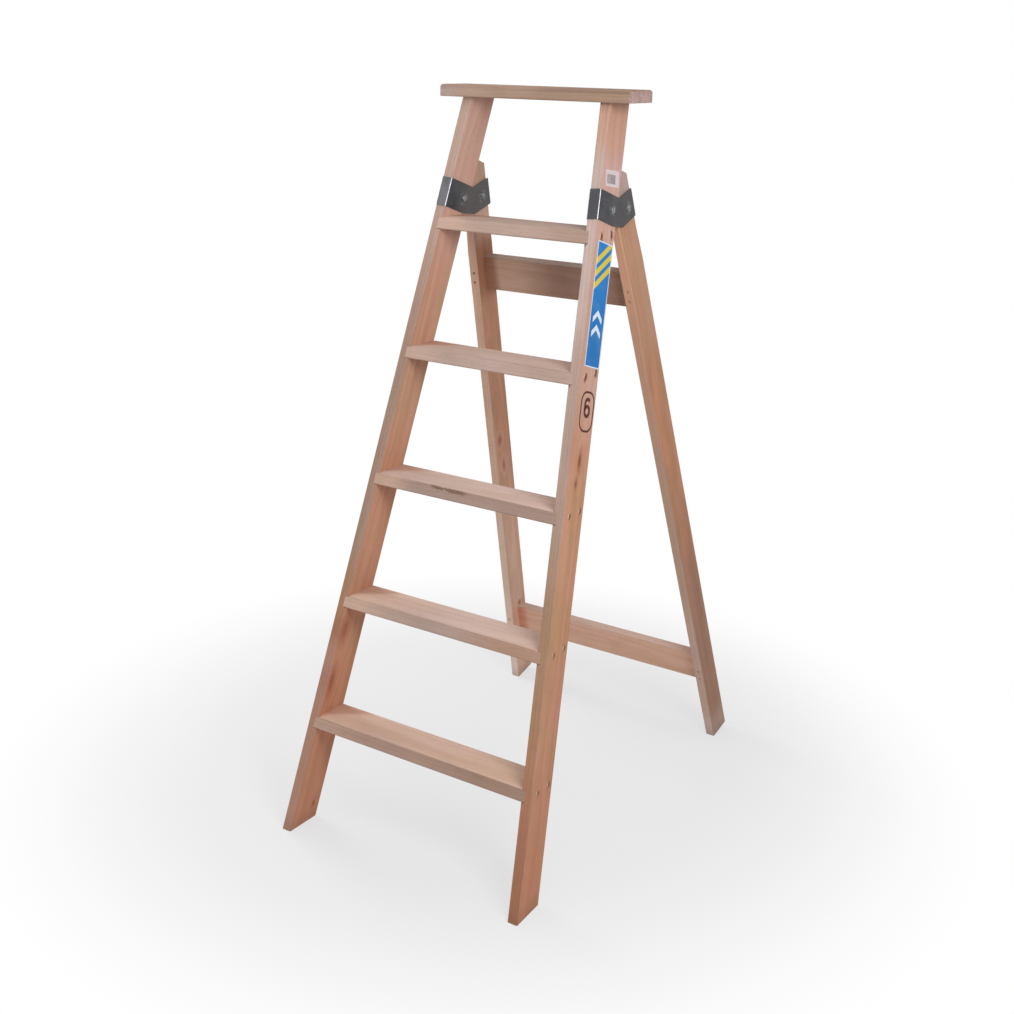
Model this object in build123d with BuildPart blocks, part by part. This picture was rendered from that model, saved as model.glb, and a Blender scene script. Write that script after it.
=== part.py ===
"""Wooden stepladder that folds: a front frame of two splayed stiles, housed treads and a top plank,
and a rear frame of two legs and two tenoned rails, hung on two bent steel straps.

X runs across the ladder, the treads face -Y, Z is up. Millimetres and degrees.
The ladder is drawn open, as it stands. The floor is at zero height."""

import os
from math import cos, radians, sin, tan

from build123d import *

os.makedirs("parts", exist_ok=True)

# Steps: treads at an even rise, the top plank is the last step
tread_count = 5
first_step = 270
step_rise = 280

# How the two frames stand: lean of each in the side view, splay of their boards seen from the front
front_lean = 17.1
rear_lean = 18.6
splay = 4.7
foot_span = 651

# Boards
stile_thick = 24
stile_deep = 86
tread_thick = 26
housing_deep = 8
leg_deep = 72
leg_thinner = 1
heel_lift = 12
rail_thick = 23
rail_high = 84
rail_set_back = 30
lower_rail_up = 168
upper_rail_down = 231
board_ease = 2
tread_ease = 2.5

# Top plank
plank_overhang = 51
plank_deep = 102
plank_thick = 26
plank_front = 14
plank_round = 6

# Rail joints: blind mortises in the legs
tenon_long = 15
tenon_thick = 11
tenon_shoulder = 12
glue_room = 1

# Hinge: the rounded knuckle of the leg turns behind the stile, and the leg's top stops against it
knuckle = 46
swing_gap = 0.4
stop_gap = 0.1
stop_start = 8
leg_top_up = 70
leg_set_out = 1.3
tongue_gap = 2.5
tongue_set_out = 0.4
tongue_spare = 2
tongue_run = 70
sheet = 1.6
strap_wide = 63
strap_above_tread = 0.3
strap_rise = 3.3
strap_mitre = 12
strap_past_leg = 2
strap_point_front = 12
strap_point_back = 34
strap_corner = 3
rivet_size = 7
rivet_head = 14
rivet_head_thick = 2.6
rivet_dome = 1.9
stile_rivet_inset = 24
pivot_clearance = 0.05

# Wire nails, punched below the surface
nail_size = 3
nail_head = 7
nail_head_thick = 1.2
nail_sink = 1.4
nail_taper = 6
tread_nail_long = 50
tread_nail_front = 28
tread_nail_rear = 14
plank_nail_long = 60
plank_nail_front = 24
plank_nail_rear = 26
pin_past_rail = 5
pin_spread = 24

lean = radians(front_lean)
prop = radians(rear_lean)
tilt = radians(splay)
opening = radians(front_lean + rear_lean)
lift = radians(heel_lift)
leg_thick = stile_thick - leg_thinner
tongue_thick = stile_thick - 2 * tongue_gap
tongue_out = leg_set_out + leg_thick / 2 - tongue_set_out - tongue_thick / 2
tongue_in = tongue_out + tongue_thick
tread_tops = [first_step + number * step_rise for number in range(tread_count)]
top_step = first_step + tread_count * step_rise
stile_top = top_step - plank_thick


def along_at(height, back):
    """Distance up the stile's lean of a place at this height, so far behind the front edge."""
    return (height + back * sin(lean)) / cos(lean)


# Hinge strap, on the stile's outer face: it sits just above the last tread. One arm is square to the stile,
# the other to the open leg, their middle lines meet behind the stile, and the rear arm holds the pivot.
strap_low = along_at(tread_tops[-1], stile_deep) / cos(tilt) + strap_above_tread
strap_high = strap_low + strap_wide
pivot_back = stile_deep + swing_gap + knuckle
arm_dir = Vector(cos(opening), sin(opening))
leg_up = Vector(-sin(opening), cos(opening))
mitre = Vector(stile_deep + strap_mitre, strap_low + strap_wide / 2)
to_pivot = (pivot_back - mitre.X - strap_rise * sin(opening)) / cos(opening)
rear_middle = mitre + arm_dir * to_pivot
pivot_on_face = rear_middle - leg_up * strap_rise

# Side view, worked from the front foot: where the pivot is, and where that puts the rear feet
pivot_along = pivot_on_face.Y * cos(tilt)
leg_top_along = pivot_along + leg_top_up
pivot_reach = pivot_along * sin(lean) + pivot_back * cos(lean)
pivot_high = pivot_along * cos(lean) - pivot_back * sin(lean)
leg_reach = (pivot_high - knuckle * sin(prop)) / cos(prop)
upper_rail_along = leg_reach - upper_rail_down
rear_reach = pivot_reach - knuckle * cos(prop) + leg_reach * sin(prop)
heel_back = leg_deep * cos(prop) + leg_deep * tan(prop - lift) * sin(prop)
front_foot = -(rear_reach + heel_back) / 2
rear_foot = front_foot + rear_reach
pivot_y = front_foot + pivot_reach


def beside_stile(along, back):
    """Side-view place so far up the stile's lean and so far behind its front edge."""
    return (front_foot + along * sin(lean) + back * cos(lean), along * cos(lean) - back * sin(lean))


def stile_x(along, inset):
    """Half-width of the front frame at a line inset from the stiles' outer faces."""
    return foot_span / 2 - along * tan(tilt) - inset / cos(tilt)


pivot_x = stile_x(pivot_along, stile_thick / 2)


def leg_x(along, inset):
    """Half-width of the rear frame at a line inset from the legs' outer faces."""
    middle = pivot_x + leg_set_out + (leg_reach - along) * tan(tilt)
    return middle + (leg_thick / 2 - inset) / cos(tilt)


def level(height):
    return Plane.XY.offset(height)


# Faces the pieces are drawn on: the front of each frame, and the outer and inner face of the right stile
front_plane = Plane((0, front_foot, 0), x_dir=(1, 0, 0), z_dir=(0, -cos(lean), sin(lean)))
rear_plane = Plane((0, rear_foot, 0), x_dir=(1, 0, 0), z_dir=(0, -cos(prop), -sin(prop)))
back_dir = (0, cos(lean), -sin(lean))
out_dir = (cos(tilt), sin(tilt) * sin(lean), sin(tilt) * cos(lean))
outward = Axis((0, 0, 0), out_dir)
outer_face = Plane((foot_span / 2, front_foot, 0), x_dir=back_dir, z_dir=out_dir)
inner_face = outer_face.offset(-stile_thick)

# Places of the fasteners
tread_nails_at = [
    (back, along_at(top - tread_thick / 2, back) / cos(tilt))
    for top in tread_tops
    for back in (tread_nail_front, stile_deep - tread_nail_rear)
]
plank_y = front_foot + stile_top * tan(lean)
plank_half = stile_x(stile_top / cos(lean), 0) + plank_overhang
plank_nails_at = [
    (side * stile_x(stile_top / cos(lean), stile_thick / 2), plank_y + back)
    for side in (-1, 1)
    for back in (plank_nail_front, stile_deep / cos(lean) - plank_nail_rear)
]


def pins_at(rail_along):
    """Two pins in each leg, square through the middle of its front edge into the tenon."""
    middle = rail_along + rail_high / 2
    return [
        (side * leg_x(along, leg_thick / 2), along)
        for side in (-1, 1)
        for along in (middle - pin_spread / 2, middle + pin_spread / 2)
    ]


pin_long = rail_set_back + rail_thick + pin_past_rail - nail_sink


def nail(length):
    """One wire nail below the place it is driven at: flat head, shank and point."""
    head_top = -nail_sink
    with Locations((0, 0, head_top)):
        Cylinder(nail_head / 2, nail_head_thick, align=(Align.CENTER, Align.CENTER, Align.MAX))
        Cylinder(nail_size / 2, length - nail_taper, align=(Align.CENTER, Align.CENTER, Align.MAX))
    with Locations((0, 0, head_top - length + nail_taper)):
        Cone(nail_size / 8, nail_size / 2, nail_taper, align=(Align.CENTER, Align.CENTER, Align.MAX))


# Nails first, because they make their own holes in the boards
with BuildPart(outer_face) as right_tread_nails:
    with Locations(*tread_nails_at):
        nail(tread_nail_long)

with BuildPart() as left_tread_nails:
    mirror(right_tread_nails.part, about=Plane.YZ)

with BuildPart(level(top_step)) as plank_nails:
    with Locations(*plank_nails_at):
        nail(plank_nail_long)

with BuildPart(rear_plane) as lower_rail_pins:
    with Locations(*pins_at(lower_rail_up)):
        nail(pin_long)

with BuildPart(rear_plane) as upper_rail_pins:
    with Locations(*pins_at(upper_rail_along)):
        nail(pin_long)

# Treads: level boards, front and back planed to the stiles' lean, ends cut to the splayed housings
tread_blanks = []
for top in tread_tops:
    with BuildPart() as tread_blank:
        with BuildSketch(front_plane):
            low = along_at(top - tread_thick, -board_ease)
            high = along_at(top, stile_deep + board_ease)
            edge = stile_thick - housing_deep
            Polygon(
                (-stile_x(low, edge), low),
                (stile_x(low, edge), low),
                (stile_x(high, edge), high),
                (-stile_x(high, edge), high),
                align=None,
            )
        extrude(amount=-stile_deep)
        split(bisect_by=level(top), keep=Keep.BOTTOM)
        split(bisect_by=level(top - tread_thick), keep=Keep.TOP)
    tread_blanks.append(tread_blank)

for number, tread_blank in enumerate(tread_blanks, 1):
    with BuildPart() as tread:
        add(tread_blank.part)
        fillet(tread.edges().filter_by(Axis.X), radius=tread_ease)
        add(right_tread_nails.part, mode=Mode.SUBTRACT)
        add(left_tread_nails.part, mode=Mode.SUBTRACT)
    tread.part.label = f"tread_{number}"
    export_step(tread.part, f"parts/tread_{number}.step")

# Strap outline on the stile's face, with the point below the two arms blunted
across_mitre = Vector(-tan(opening / 2), 1) * (strap_wide / 2)
across_arm = leg_up * (strap_wide / 2)
rear_end = rear_middle + arm_dir * (leg_deep - knuckle + strap_past_leg)
wrap_reach = stile_deep - strap_point_front
point_back = stile_deep + strap_point_back
point_rise = (point_back - (mitre - across_mitre).X) * tan(opening)
cheek_outline = [
    (wrap_reach / 2, strap_low),
    (wrap_reach, strap_low),
    (point_back, strap_low + point_rise),
    rear_end - across_arm,
    rear_end + across_arm,
    mitre + across_mitre,
    (wrap_reach / 2, strap_high),
]
wrap_plane = Plane(outer_face.from_local_coords((0, strap_low, 0)), x_dir=out_dir, z_dir=outer_face.y_dir)

# Stile rivet: square through both cheeks of the strap and the stile, hammered over at both ends
with BuildPart(outer_face) as right_strap_rivet:
    with Locations((stile_deep - stile_rivet_inset, mitre.Y, -stile_thick / 2)):
        Cylinder(rivet_size / 2, stile_thick + 2 * sheet)
    with Locations((stile_deep - stile_rivet_inset, mitre.Y, sheet)):
        Cylinder(rivet_head / 2, rivet_head_thick, align=(Align.CENTER, Align.CENTER, Align.MIN))
    with Locations((stile_deep - stile_rivet_inset, mitre.Y, -stile_thick - sheet)):
        Cylinder(rivet_head / 2, rivet_head_thick, align=(Align.CENTER, Align.CENTER, Align.MAX))
    ends = right_strap_rivet.faces().sort_by(outward)
    fillet((ends[0] + ends[-1]).edges(), radius=rivet_dome)

with BuildPart() as left_strap_rivet:
    mirror(right_strap_rivet.part, about=Plane.YZ)

# Pivot rivet: its shank lies along the hinge line, its heads sit flat on the splayed cheeks
pin_half = (stile_thick / 2 + sheet) / cos(tilt)
pivot_place = Vector(pivot_x, pivot_y, pivot_high)
outer_seat = Plane(pivot_place + Vector(pin_half, 0, 0), z_dir=out_dir)
inner_seat = Plane(pivot_place - Vector(pin_half, 0, 0), z_dir=out_dir)
with BuildPart() as right_pivot_rivet:
    with Locations(Location(pivot_place, (0, 90, 0))):
        Cylinder(rivet_size / 2, 2 * pin_half + rivet_head_thick)
    with Locations(outer_seat):
        Cylinder(rivet_head / 2, rivet_head_thick, align=(Align.CENTER, Align.CENTER, Align.MIN))
    with Locations(inner_seat):
        Cylinder(rivet_head / 2, rivet_head_thick, align=(Align.CENTER, Align.CENTER, Align.MAX))
    ends = right_pivot_rivet.faces().sort_by(outward)
    fillet((ends[0] + ends[-1]).edges(), radius=rivet_dome)

with BuildPart() as left_pivot_rivet:
    mirror(right_pivot_rivet.part, about=Plane.YZ)

# Hinge strap: sheet folded round the stile's front edge, with both cheeks carried back over the leg
with BuildPart() as right_hinge_strap:
    with BuildSketch(wrap_plane):
        with BuildLine():
            FilletPolyline(
                (0, wrap_reach), (0, 0), (-stile_thick, 0), (-stile_thick, wrap_reach), radius=board_ease
            )
            offset(amount=sheet, side=Side.LEFT)
        make_face()
    extrude(amount=strap_wide)
    with BuildSketch(outer_face):
        with BuildLine():
            FilletPolyline(*cheek_outline, radius=strap_corner, close=True)
        make_face()
    extrude(amount=sheet)
    with BuildSketch(inner_face):
        with BuildLine():
            FilletPolyline(*cheek_outline, radius=strap_corner, close=True)
        make_face()
    extrude(amount=-sheet)
    add(right_strap_rivet.part, mode=Mode.SUBTRACT)
    add(right_pivot_rivet.part, mode=Mode.SUBTRACT)

with BuildPart() as left_hinge_strap:
    mirror(right_hinge_strap.part, about=Plane.YZ)

# Stiles: splayed boards cut level at the foot and under the plank, housed for the treads
stile_low = along_at(0, -stile_deep)
stile_high = along_at(top_step, stile_deep)
with BuildPart() as right_stile:
    with BuildSketch(front_plane):
        Polygon(
            (stile_x(stile_low, 0), stile_low),
            (stile_x(stile_high, 0), stile_high),
            (stile_x(stile_high, stile_thick), stile_high),
            (stile_x(stile_low, stile_thick), stile_low),
            align=None,
        )
    extrude(amount=-stile_deep)
    fillet(right_stile.edges().filter_by(lambda edge: edge.length > top_step), radius=board_ease)
    split(bisect_by=level(0), keep=Keep.TOP)
    split(bisect_by=level(stile_top), keep=Keep.BOTTOM)
    for tread_blank in tread_blanks:
        add(tread_blank.part, mode=Mode.SUBTRACT)
    with BuildSketch(outer_face):
        with Locations(*tread_nails_at):
            Circle(nail_head / 2)
    extrude(amount=-nail_sink, mode=Mode.SUBTRACT)
    add(right_tread_nails.part, mode=Mode.SUBTRACT)
    add(plank_nails.part, mode=Mode.SUBTRACT)
    add(right_strap_rivet.part, mode=Mode.SUBTRACT)

with BuildPart() as left_stile:
    mirror(right_stile.part, about=Plane.YZ)

# Top plank: the last step, rounded over along the top
with BuildPart() as top_plank:
    with Locations((0, plank_y - plank_front, stile_top)):
        Box(2 * plank_half, plank_deep, plank_thick, align=(Align.CENTER, Align.MIN, Align.MIN))
    fillet(top_plank.faces().sort_by(Axis.Z)[-1].edges(), radius=plank_round)
    fillet(top_plank.faces().sort_by(Axis.Z)[0].edges(), radius=board_ease)
    with BuildSketch(level(top_step)):
        with Locations(*plank_nails_at):
            Circle(nail_head / 2)
    extrude(amount=-nail_sink, mode=Mode.SUBTRACT)
    add(plank_nails.part, mode=Mode.SUBTRACT)

# Rear rails: shouldered at the legs' inner faces, with tenons running on into the legs
rails = {}
for rail_name, rail_along, pins in (
    ("lower_rail", lower_rail_up, lower_rail_pins),
    ("upper_rail", upper_rail_along, upper_rail_pins),
):
    low, high = rail_along, rail_along + rail_high
    with BuildPart() as rail:
        with BuildSketch(rear_plane.offset(-rail_set_back)):
            Polygon(
                (-leg_x(low, leg_thick), low),
                (leg_x(low, leg_thick), low),
                (leg_x(high, leg_thick), high),
                (-leg_x(high, leg_thick), high),
                align=None,
            )
        extrude(amount=-rail_thick)
        fillet(rail.edges().filter_by(Axis.X), radius=board_ease)
        low, high = low + tenon_shoulder, high - tenon_shoulder
        with BuildSketch(rear_plane.offset(-rail_set_back - (rail_thick - tenon_thick) / 2)):
            Polygon(
                (-leg_x(low, leg_thick - tenon_long), low),
                (leg_x(low, leg_thick - tenon_long), low),
                (leg_x(high, leg_thick - tenon_long), high),
                (-leg_x(high, leg_thick - tenon_long), high),
                align=None,
            )
        extrude(amount=-tenon_thick)
        add(pins.part, mode=Mode.SUBTRACT)
    rail.part.label = rail_name
    export_step(rail.part, f"parts/{rail_name}.step")

# Rear legs: splayed boards whose side outline is the folding geometry. The knuckle is an arc about the
# pivot, the wedge above it stops flat on the stile's back edge, and the foot is cut a little off level.
# The top is planed to a thinner tongue, so that the leg swings free between the strap's cheeks.
leg_low = -leg_deep
tongue_low = leg_reach - (pivot_on_face.Y - strap_low) - tongue_spare
taper_low = tongue_low - tongue_run
leg_high = leg_reach + stile_deep + leg_deep
pivot_side = (pivot_y, pivot_high)
knuckle_low = (pivot_y - knuckle * cos(prop), pivot_high - knuckle * sin(prop))
knuckle_high = (pivot_y - knuckle * cos(lean), pivot_high + knuckle * sin(lean))
knuckle_turn = (prop - lean) / 2
knuckle_mid = (pivot_y - knuckle * cos(knuckle_turn), pivot_high - knuckle * sin(knuckle_turn))
clear = leg_deep * 2
with BuildPart() as right_rear_leg:
    with BuildSketch(rear_plane):
        Polygon(
            (leg_x(leg_low, 0), leg_low),
            (leg_x(taper_low, 0), taper_low),
            (leg_x(tongue_low, tongue_out), tongue_low),
            (leg_x(leg_high, tongue_out), leg_high),
            (leg_x(leg_high, tongue_in), leg_high),
            (leg_x(tongue_low, tongue_in), tongue_low),
            (leg_x(taper_low, leg_thick), taper_low),
            (leg_x(leg_low, leg_thick), leg_low),
            align=None,
        )
    extrude(amount=-leg_deep)
    fillet(right_rear_leg.edges().filter_by(lambda edge: edge.length > leg_deep), radius=board_ease)
    with BuildSketch(Plane.YZ):
        with BuildLine():
            Polyline(
                knuckle_high,
                beside_stile(pivot_along + stop_start, stile_deep + stop_gap),
                beside_stile(leg_top_along, stile_deep + stop_gap),
                beside_stile(leg_top_along, stile_deep + clear),
                (rear_foot + clear, pivot_high),
                (rear_foot + clear, clear * tan(lift)),
                (rear_foot - clear, -clear * tan(lift)),
                (knuckle_low[0] - clear * cos(prop), knuckle_low[1] - clear * sin(prop)),
                knuckle_low,
            )
            ThreePointArc(knuckle_low, knuckle_mid, knuckle_high)
        make_face()
    extrude(amount=foot_span / 2, mode=Mode.INTERSECT)
    for rail_along in (lower_rail_up, upper_rail_along):
        low, high = rail_along + tenon_shoulder, rail_along + rail_high - tenon_shoulder
        with BuildSketch(rear_plane.offset(-rail_set_back - (rail_thick - tenon_thick) / 2)):
            Polygon(
                (leg_x(low, leg_thick * 2), low),
                (leg_x(low, leg_thick - tenon_long - glue_room), low),
                (leg_x(high, leg_thick - tenon_long - glue_room), high),
                (leg_x(high, leg_thick * 2), high),
                align=None,
            )
        extrude(amount=-tenon_thick, mode=Mode.SUBTRACT)
        with BuildSketch(rear_plane):
            with Locations(*pins_at(rail_along)):
                Circle(nail_head / 2)
        extrude(amount=-nail_sink, mode=Mode.SUBTRACT)
    add(lower_rail_pins.part, mode=Mode.SUBTRACT)
    add(upper_rail_pins.part, mode=Mode.SUBTRACT)
    with Locations(Location(pivot_place, (0, 90, 0))):
        Cylinder(rivet_size / 2 + pivot_clearance, stile_thick * 2, mode=Mode.SUBTRACT)

with BuildPart() as left_rear_leg:
    mirror(right_rear_leg.part, about=Plane.YZ)

for name, piece in {
    "left_stile": left_stile,
    "right_stile": right_stile,
    "top_plank": top_plank,
    "left_hinge_strap": left_hinge_strap,
    "right_hinge_strap": right_hinge_strap,
    "left_strap_rivet": left_strap_rivet,
    "right_strap_rivet": right_strap_rivet,
    "left_pivot_rivet": left_pivot_rivet,
    "right_pivot_rivet": right_pivot_rivet,
    "left_rear_leg": left_rear_leg,
    "right_rear_leg": right_rear_leg,
    "left_tread_nails": left_tread_nails,
    "right_tread_nails": right_tread_nails,
    "plank_nails": plank_nails,
    "lower_rail_pins": lower_rail_pins,
    "upper_rail_pins": upper_rail_pins,
}.items():
    piece.part.label = name
    export_step(piece.part, f"parts/{name}.step")
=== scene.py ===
"""Looks of a wooden stepladder: planed boards with their own grain, knots and nail marks, dark folded
steel straps, and the printed label, burnt size mark and paper sticker on the right stile.

Every board has its own coordinates, x along the grain, y through the thickness and z across the width,
and its growth rings, knots, stains and painted light and shade are solid patterns in them, so faces,
edges and ends agree.
Metres throughout.
"""
import math

import bpy
import numpy as np
from mathutils import Matrix, Vector


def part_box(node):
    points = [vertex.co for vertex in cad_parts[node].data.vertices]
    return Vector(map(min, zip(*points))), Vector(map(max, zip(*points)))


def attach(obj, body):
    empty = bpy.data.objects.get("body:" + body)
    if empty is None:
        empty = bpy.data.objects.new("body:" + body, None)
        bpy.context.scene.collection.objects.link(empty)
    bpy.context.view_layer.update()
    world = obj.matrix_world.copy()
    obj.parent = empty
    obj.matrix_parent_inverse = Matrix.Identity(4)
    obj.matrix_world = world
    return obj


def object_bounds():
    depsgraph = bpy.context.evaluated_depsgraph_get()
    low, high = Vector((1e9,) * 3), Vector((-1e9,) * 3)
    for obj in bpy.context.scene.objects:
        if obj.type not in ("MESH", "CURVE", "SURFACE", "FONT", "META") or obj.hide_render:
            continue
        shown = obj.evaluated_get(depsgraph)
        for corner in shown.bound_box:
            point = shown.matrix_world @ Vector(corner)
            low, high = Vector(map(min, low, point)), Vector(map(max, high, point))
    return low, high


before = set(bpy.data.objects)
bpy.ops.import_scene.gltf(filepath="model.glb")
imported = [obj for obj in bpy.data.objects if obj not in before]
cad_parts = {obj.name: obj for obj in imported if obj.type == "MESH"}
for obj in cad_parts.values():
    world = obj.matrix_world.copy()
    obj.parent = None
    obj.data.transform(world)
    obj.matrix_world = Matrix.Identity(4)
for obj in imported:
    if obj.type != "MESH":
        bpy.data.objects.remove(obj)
cad_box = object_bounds()

MM = 0.001

# How the boards stand
FRONT_LEAN = math.radians(17.1)
REAR_LEAN = math.radians(18.6)
SPLAY = math.radians(4.7)

# Board sizes that the wear and the marks are placed by
STILE_THICK, STILE_WIDE = 24 * MM, 86 * MM
LEG_THICK, LEG_WIDE = 23 * MM, 72 * MM
TREAD_THICK = 26 * MM
TREAD_SLANT = math.tan(FRONT_LEAN)
PLANK_THICK = 26 * MM
RAIL_THICK, RAIL_WIDE = 23 * MM, 84 * MM
STEP_RISE = 280 * MM

# Nails: first pair up the stile's outer face, then one pair per tread
FRONT_NAIL_IN, REAR_NAIL_IN = 28 * MM, 72 * MM
FRONT_NAIL_UP, REAR_NAIL_UP = 278.4 * MM, 292 * MM
NAIL_PITCH = STEP_RISE / (math.cos(FRONT_LEAN) * math.cos(SPLAY))
# Where the lowest tread's housing meets the right stile's front edge: painted shade in the joint there, as at
# every tread
HOUSING_UP = 262 * MM


def screen_colour(red, green, blue):
    """A colour as a screen shows it, 0 to 255, turned into the linear colour that a shader takes."""
    share = np.array([red, green, blue]) / 255
    linear = np.where(share <= 0.04045, share / 12.92, ((share + 0.055) / 1.055) ** 2.4)
    return (*linear.tolist(), 1.0)


# Node trees

class Bench:
    """Lays nodes in one tree. What is given to an input is either another node's output or a constant."""

    def __init__(self, tree):
        self.tree = tree

    def feed(self, socket, value):
        """Links an output to the socket, or sets the socket to a constant."""
        if isinstance(value, bpy.types.NodeSocket):
            self.tree.links.new(value, socket)
        else:
            socket.default_value = value

    def fill(self, made, terms):
        """Feeds a node's inputs in their order."""
        for socket, value in zip(made.inputs, terms):
            self.feed(socket, value)
        return made

    def put(self, kind, inputs=(), **settings):
        """A new node with its settings, and its inputs fed by name."""
        made = self.tree.nodes.new(kind)
        for name, value in settings.items():
            setattr(made, name, value)
        for name, value in dict(inputs).items():
            self.feed(made.inputs[name], value)
        return made

    def sums(self, operation, *terms):
        """One step of arithmetic on its terms."""
        return self.fill(self.put("ShaderNodeMath", operation=operation), terms).outputs[0]

    def plus(self, first, second):
        return self.sums("ADD", first, second)

    def minus(self, first, second):
        return self.sums("SUBTRACT", first, second)

    def times(self, first, second):
        return self.sums("MULTIPLY", first, second)

    def ratio(self, first, second):
        return self.sums("DIVIDE", first, second)

    def most(self, first, second):
        return self.sums("MAXIMUM", first, second)

    def scaled(self, value, gain, base):
        """Value * gain + base."""
        return self.sums("MULTIPLY_ADD", value, gain, base)

    def vectors(self, operation, *terms):
        made = self.fill(self.put("ShaderNodeVectorMath", operation=operation), terms)
        return made.outputs["Value" if operation in ("DOT_PRODUCT", "LENGTH") else "Vector"]

    def parts(self, place):
        return self.put("ShaderNodeSeparateXYZ", {"Vector": place}).outputs

    def joined(self, x, y, z):
        return self.put("ShaderNodeCombineXYZ", {"X": x, "Y": y, "Z": z}).outputs[0]

    def step(self, value, low, high):
        """0 below low, 1 above high, a smooth S between; the other way round if low is the larger."""
        made = self.put("ShaderNodeMapRange", interpolation_type="SMOOTHSTEP")
        start, end = (0.0, 1.0) if low < high else (1.0, 0.0)
        return self.fill(made, (value, min(low, high), max(low, high), start, end)).outputs[0]

    def band(self, value, low, high, soft):
        """1 from low to high, with edges that rise within soft."""
        return self.times(self.step(value, low, low + soft), self.step(value, high, high - soft))

    def noise(self, place, scale, detail=2.0, roughness=0.5):
        return self.put("ShaderNodeTexNoise", {"Vector": place, "Scale": scale, "Detail": detail,
                                               "Roughness": roughness}).outputs["Fac"]

    def drawn_out(self, place, cycles, detail=2.0, roughness=0.5):
        """Noise with its own number of cycles per metre along each axis."""
        return self.noise(self.vectors("MULTIPLY", place, cycles), 1.0, detail, roughness)

    def blend(self, share, first, second, mode="MIX"):
        """Two colours by the share of the second; three plain numbers are a colour as a screen shows it."""
        made = self.put("ShaderNodeMix", data_type="RGBA", blend_type=mode)
        self.feed(made.inputs[0], share)
        for number, colour in ((6, first), (7, second)):
            shown = isinstance(colour, tuple) and len(colour) == 3
            self.feed(made.inputs[number], screen_colour(*colour) if shown else colour)
        return made.outputs[2]

    def tint(self, ground, mask, share, colour, mode="MIX"):
        """The ground blended with a colour by the share, where the mask is 1."""
        return self.blend(self.times(mask, share), ground, colour, mode)

    def shaded(self, ground, shade):
        """The ground times a grey."""
        return self.blend(1.0, ground, self.joined(shade, shade, shade), "MULTIPLY")

    def group(self, tree, **inputs):
        """The outputs of a group; an underscore in an input's name stands for a space."""
        made = self.put("ShaderNodeGroup", node_tree=tree)
        for name, value in inputs.items():
            self.feed(made.inputs[name.replace("_", " ")], value)
        return made.outputs


def new_group(name, takes, gives):
    """An empty shader group: takes maps each input to its default, gives lists the outputs."""
    tree = bpy.data.node_groups.new(name, "ShaderNodeTree")
    for socket, value in takes.items():
        kind = "NodeSocketVector" if isinstance(value, tuple) else "NodeSocketFloat"
        tree.interface.new_socket(name=socket, in_out="INPUT", socket_type=kind).default_value = value
    for socket in gives:
        tree.interface.new_socket(name=socket, in_out="OUTPUT", socket_type="NodeSocketFloat")
    bench = Bench(tree)
    return bench, bench.put("NodeGroupInput").outputs, bench.put("NodeGroupOutput").inputs


ORIGIN = (0.0, 0.0, 0.0)

# Cycles per metre of the patterns in wood: along, through and across the board
WANDER_CYCLES = (1.7, 8.0, 8.0)
FIBRE_CYCLES = (22.0, 760.0, 760.0)
STREAK_CYCLES = (1.3, 38.0, 38.0)
PORE_CYCLES = (120.0, 2300.0, 2300.0)
PATCH_CYCLES = (7.0, 34.0, 34.0)
RUB_CYCLES = (14.0, 90.0, 90.0)
YEAR_CYCLES = 70.0
UNEVEN_YEARS = 1.6


def board_grain_group():
    """Growth rings round a heart line that wanders, and the fibres, streaks, pores and patches along it.

    Ring phase = (distance from the heart + slow wander + swell round knots) / ring width + uneven years.
    """
    bench, given, out = new_group(
        "board_grain",
        {"Place": ORIGIN, "Heart": ORIGIN, "Ring Width": 0.005, "Wander": 0.01, "Seed": 0.0, "Swell": 0.0},
        ["Rings", "Fibres", "Streaks", "Pores", "Patches"])
    seed = given["Seed"]
    seeded = bench.vectors("ADD", given["Place"], bench.joined(seed, seed, seed))

    slow = bench.drawn_out(seeded, WANDER_CYCLES)
    wander = bench.times(bench.minus(slow, 0.5), given["Wander"])
    _, across, over = bench.parts(bench.vectors("SUBTRACT", given["Place"], given["Heart"]))
    radius = bench.vectors("LENGTH", bench.joined(0.0, across, over))
    radius = bench.plus(bench.plus(radius, wander), given["Swell"])
    years = bench.noise(bench.joined(radius, seed, 0.0), YEAR_CYCLES, 1.0)
    phase = bench.plus(bench.ratio(radius, given["Ring Width"]), bench.times(years, UNEVEN_YEARS))
    part = bench.sums("FRACT", phase)
    bench.feed(out["Rings"], bench.minus(bench.step(part, 0.25, 0.86), bench.step(part, 0.88, 1.0)))

    bench.feed(out["Fibres"], bench.drawn_out(seeded, FIBRE_CYCLES, 3.0, 0.6))
    streaks = bench.drawn_out(seeded, STREAK_CYCLES, 3.0, 0.55)
    bench.feed(out["Streaks"], bench.step(streaks, 0.44, 0.72))
    pores = bench.drawn_out(seeded, PORE_CYCLES, 1.0)
    bench.feed(out["Pores"], bench.step(pores, 0.60, 0.74))
    patches = bench.drawn_out(seeded, PATCH_CYCLES)
    bench.feed(out["Patches"], bench.step(patches, 0.36, 0.64))
    return bench.tree


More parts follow.
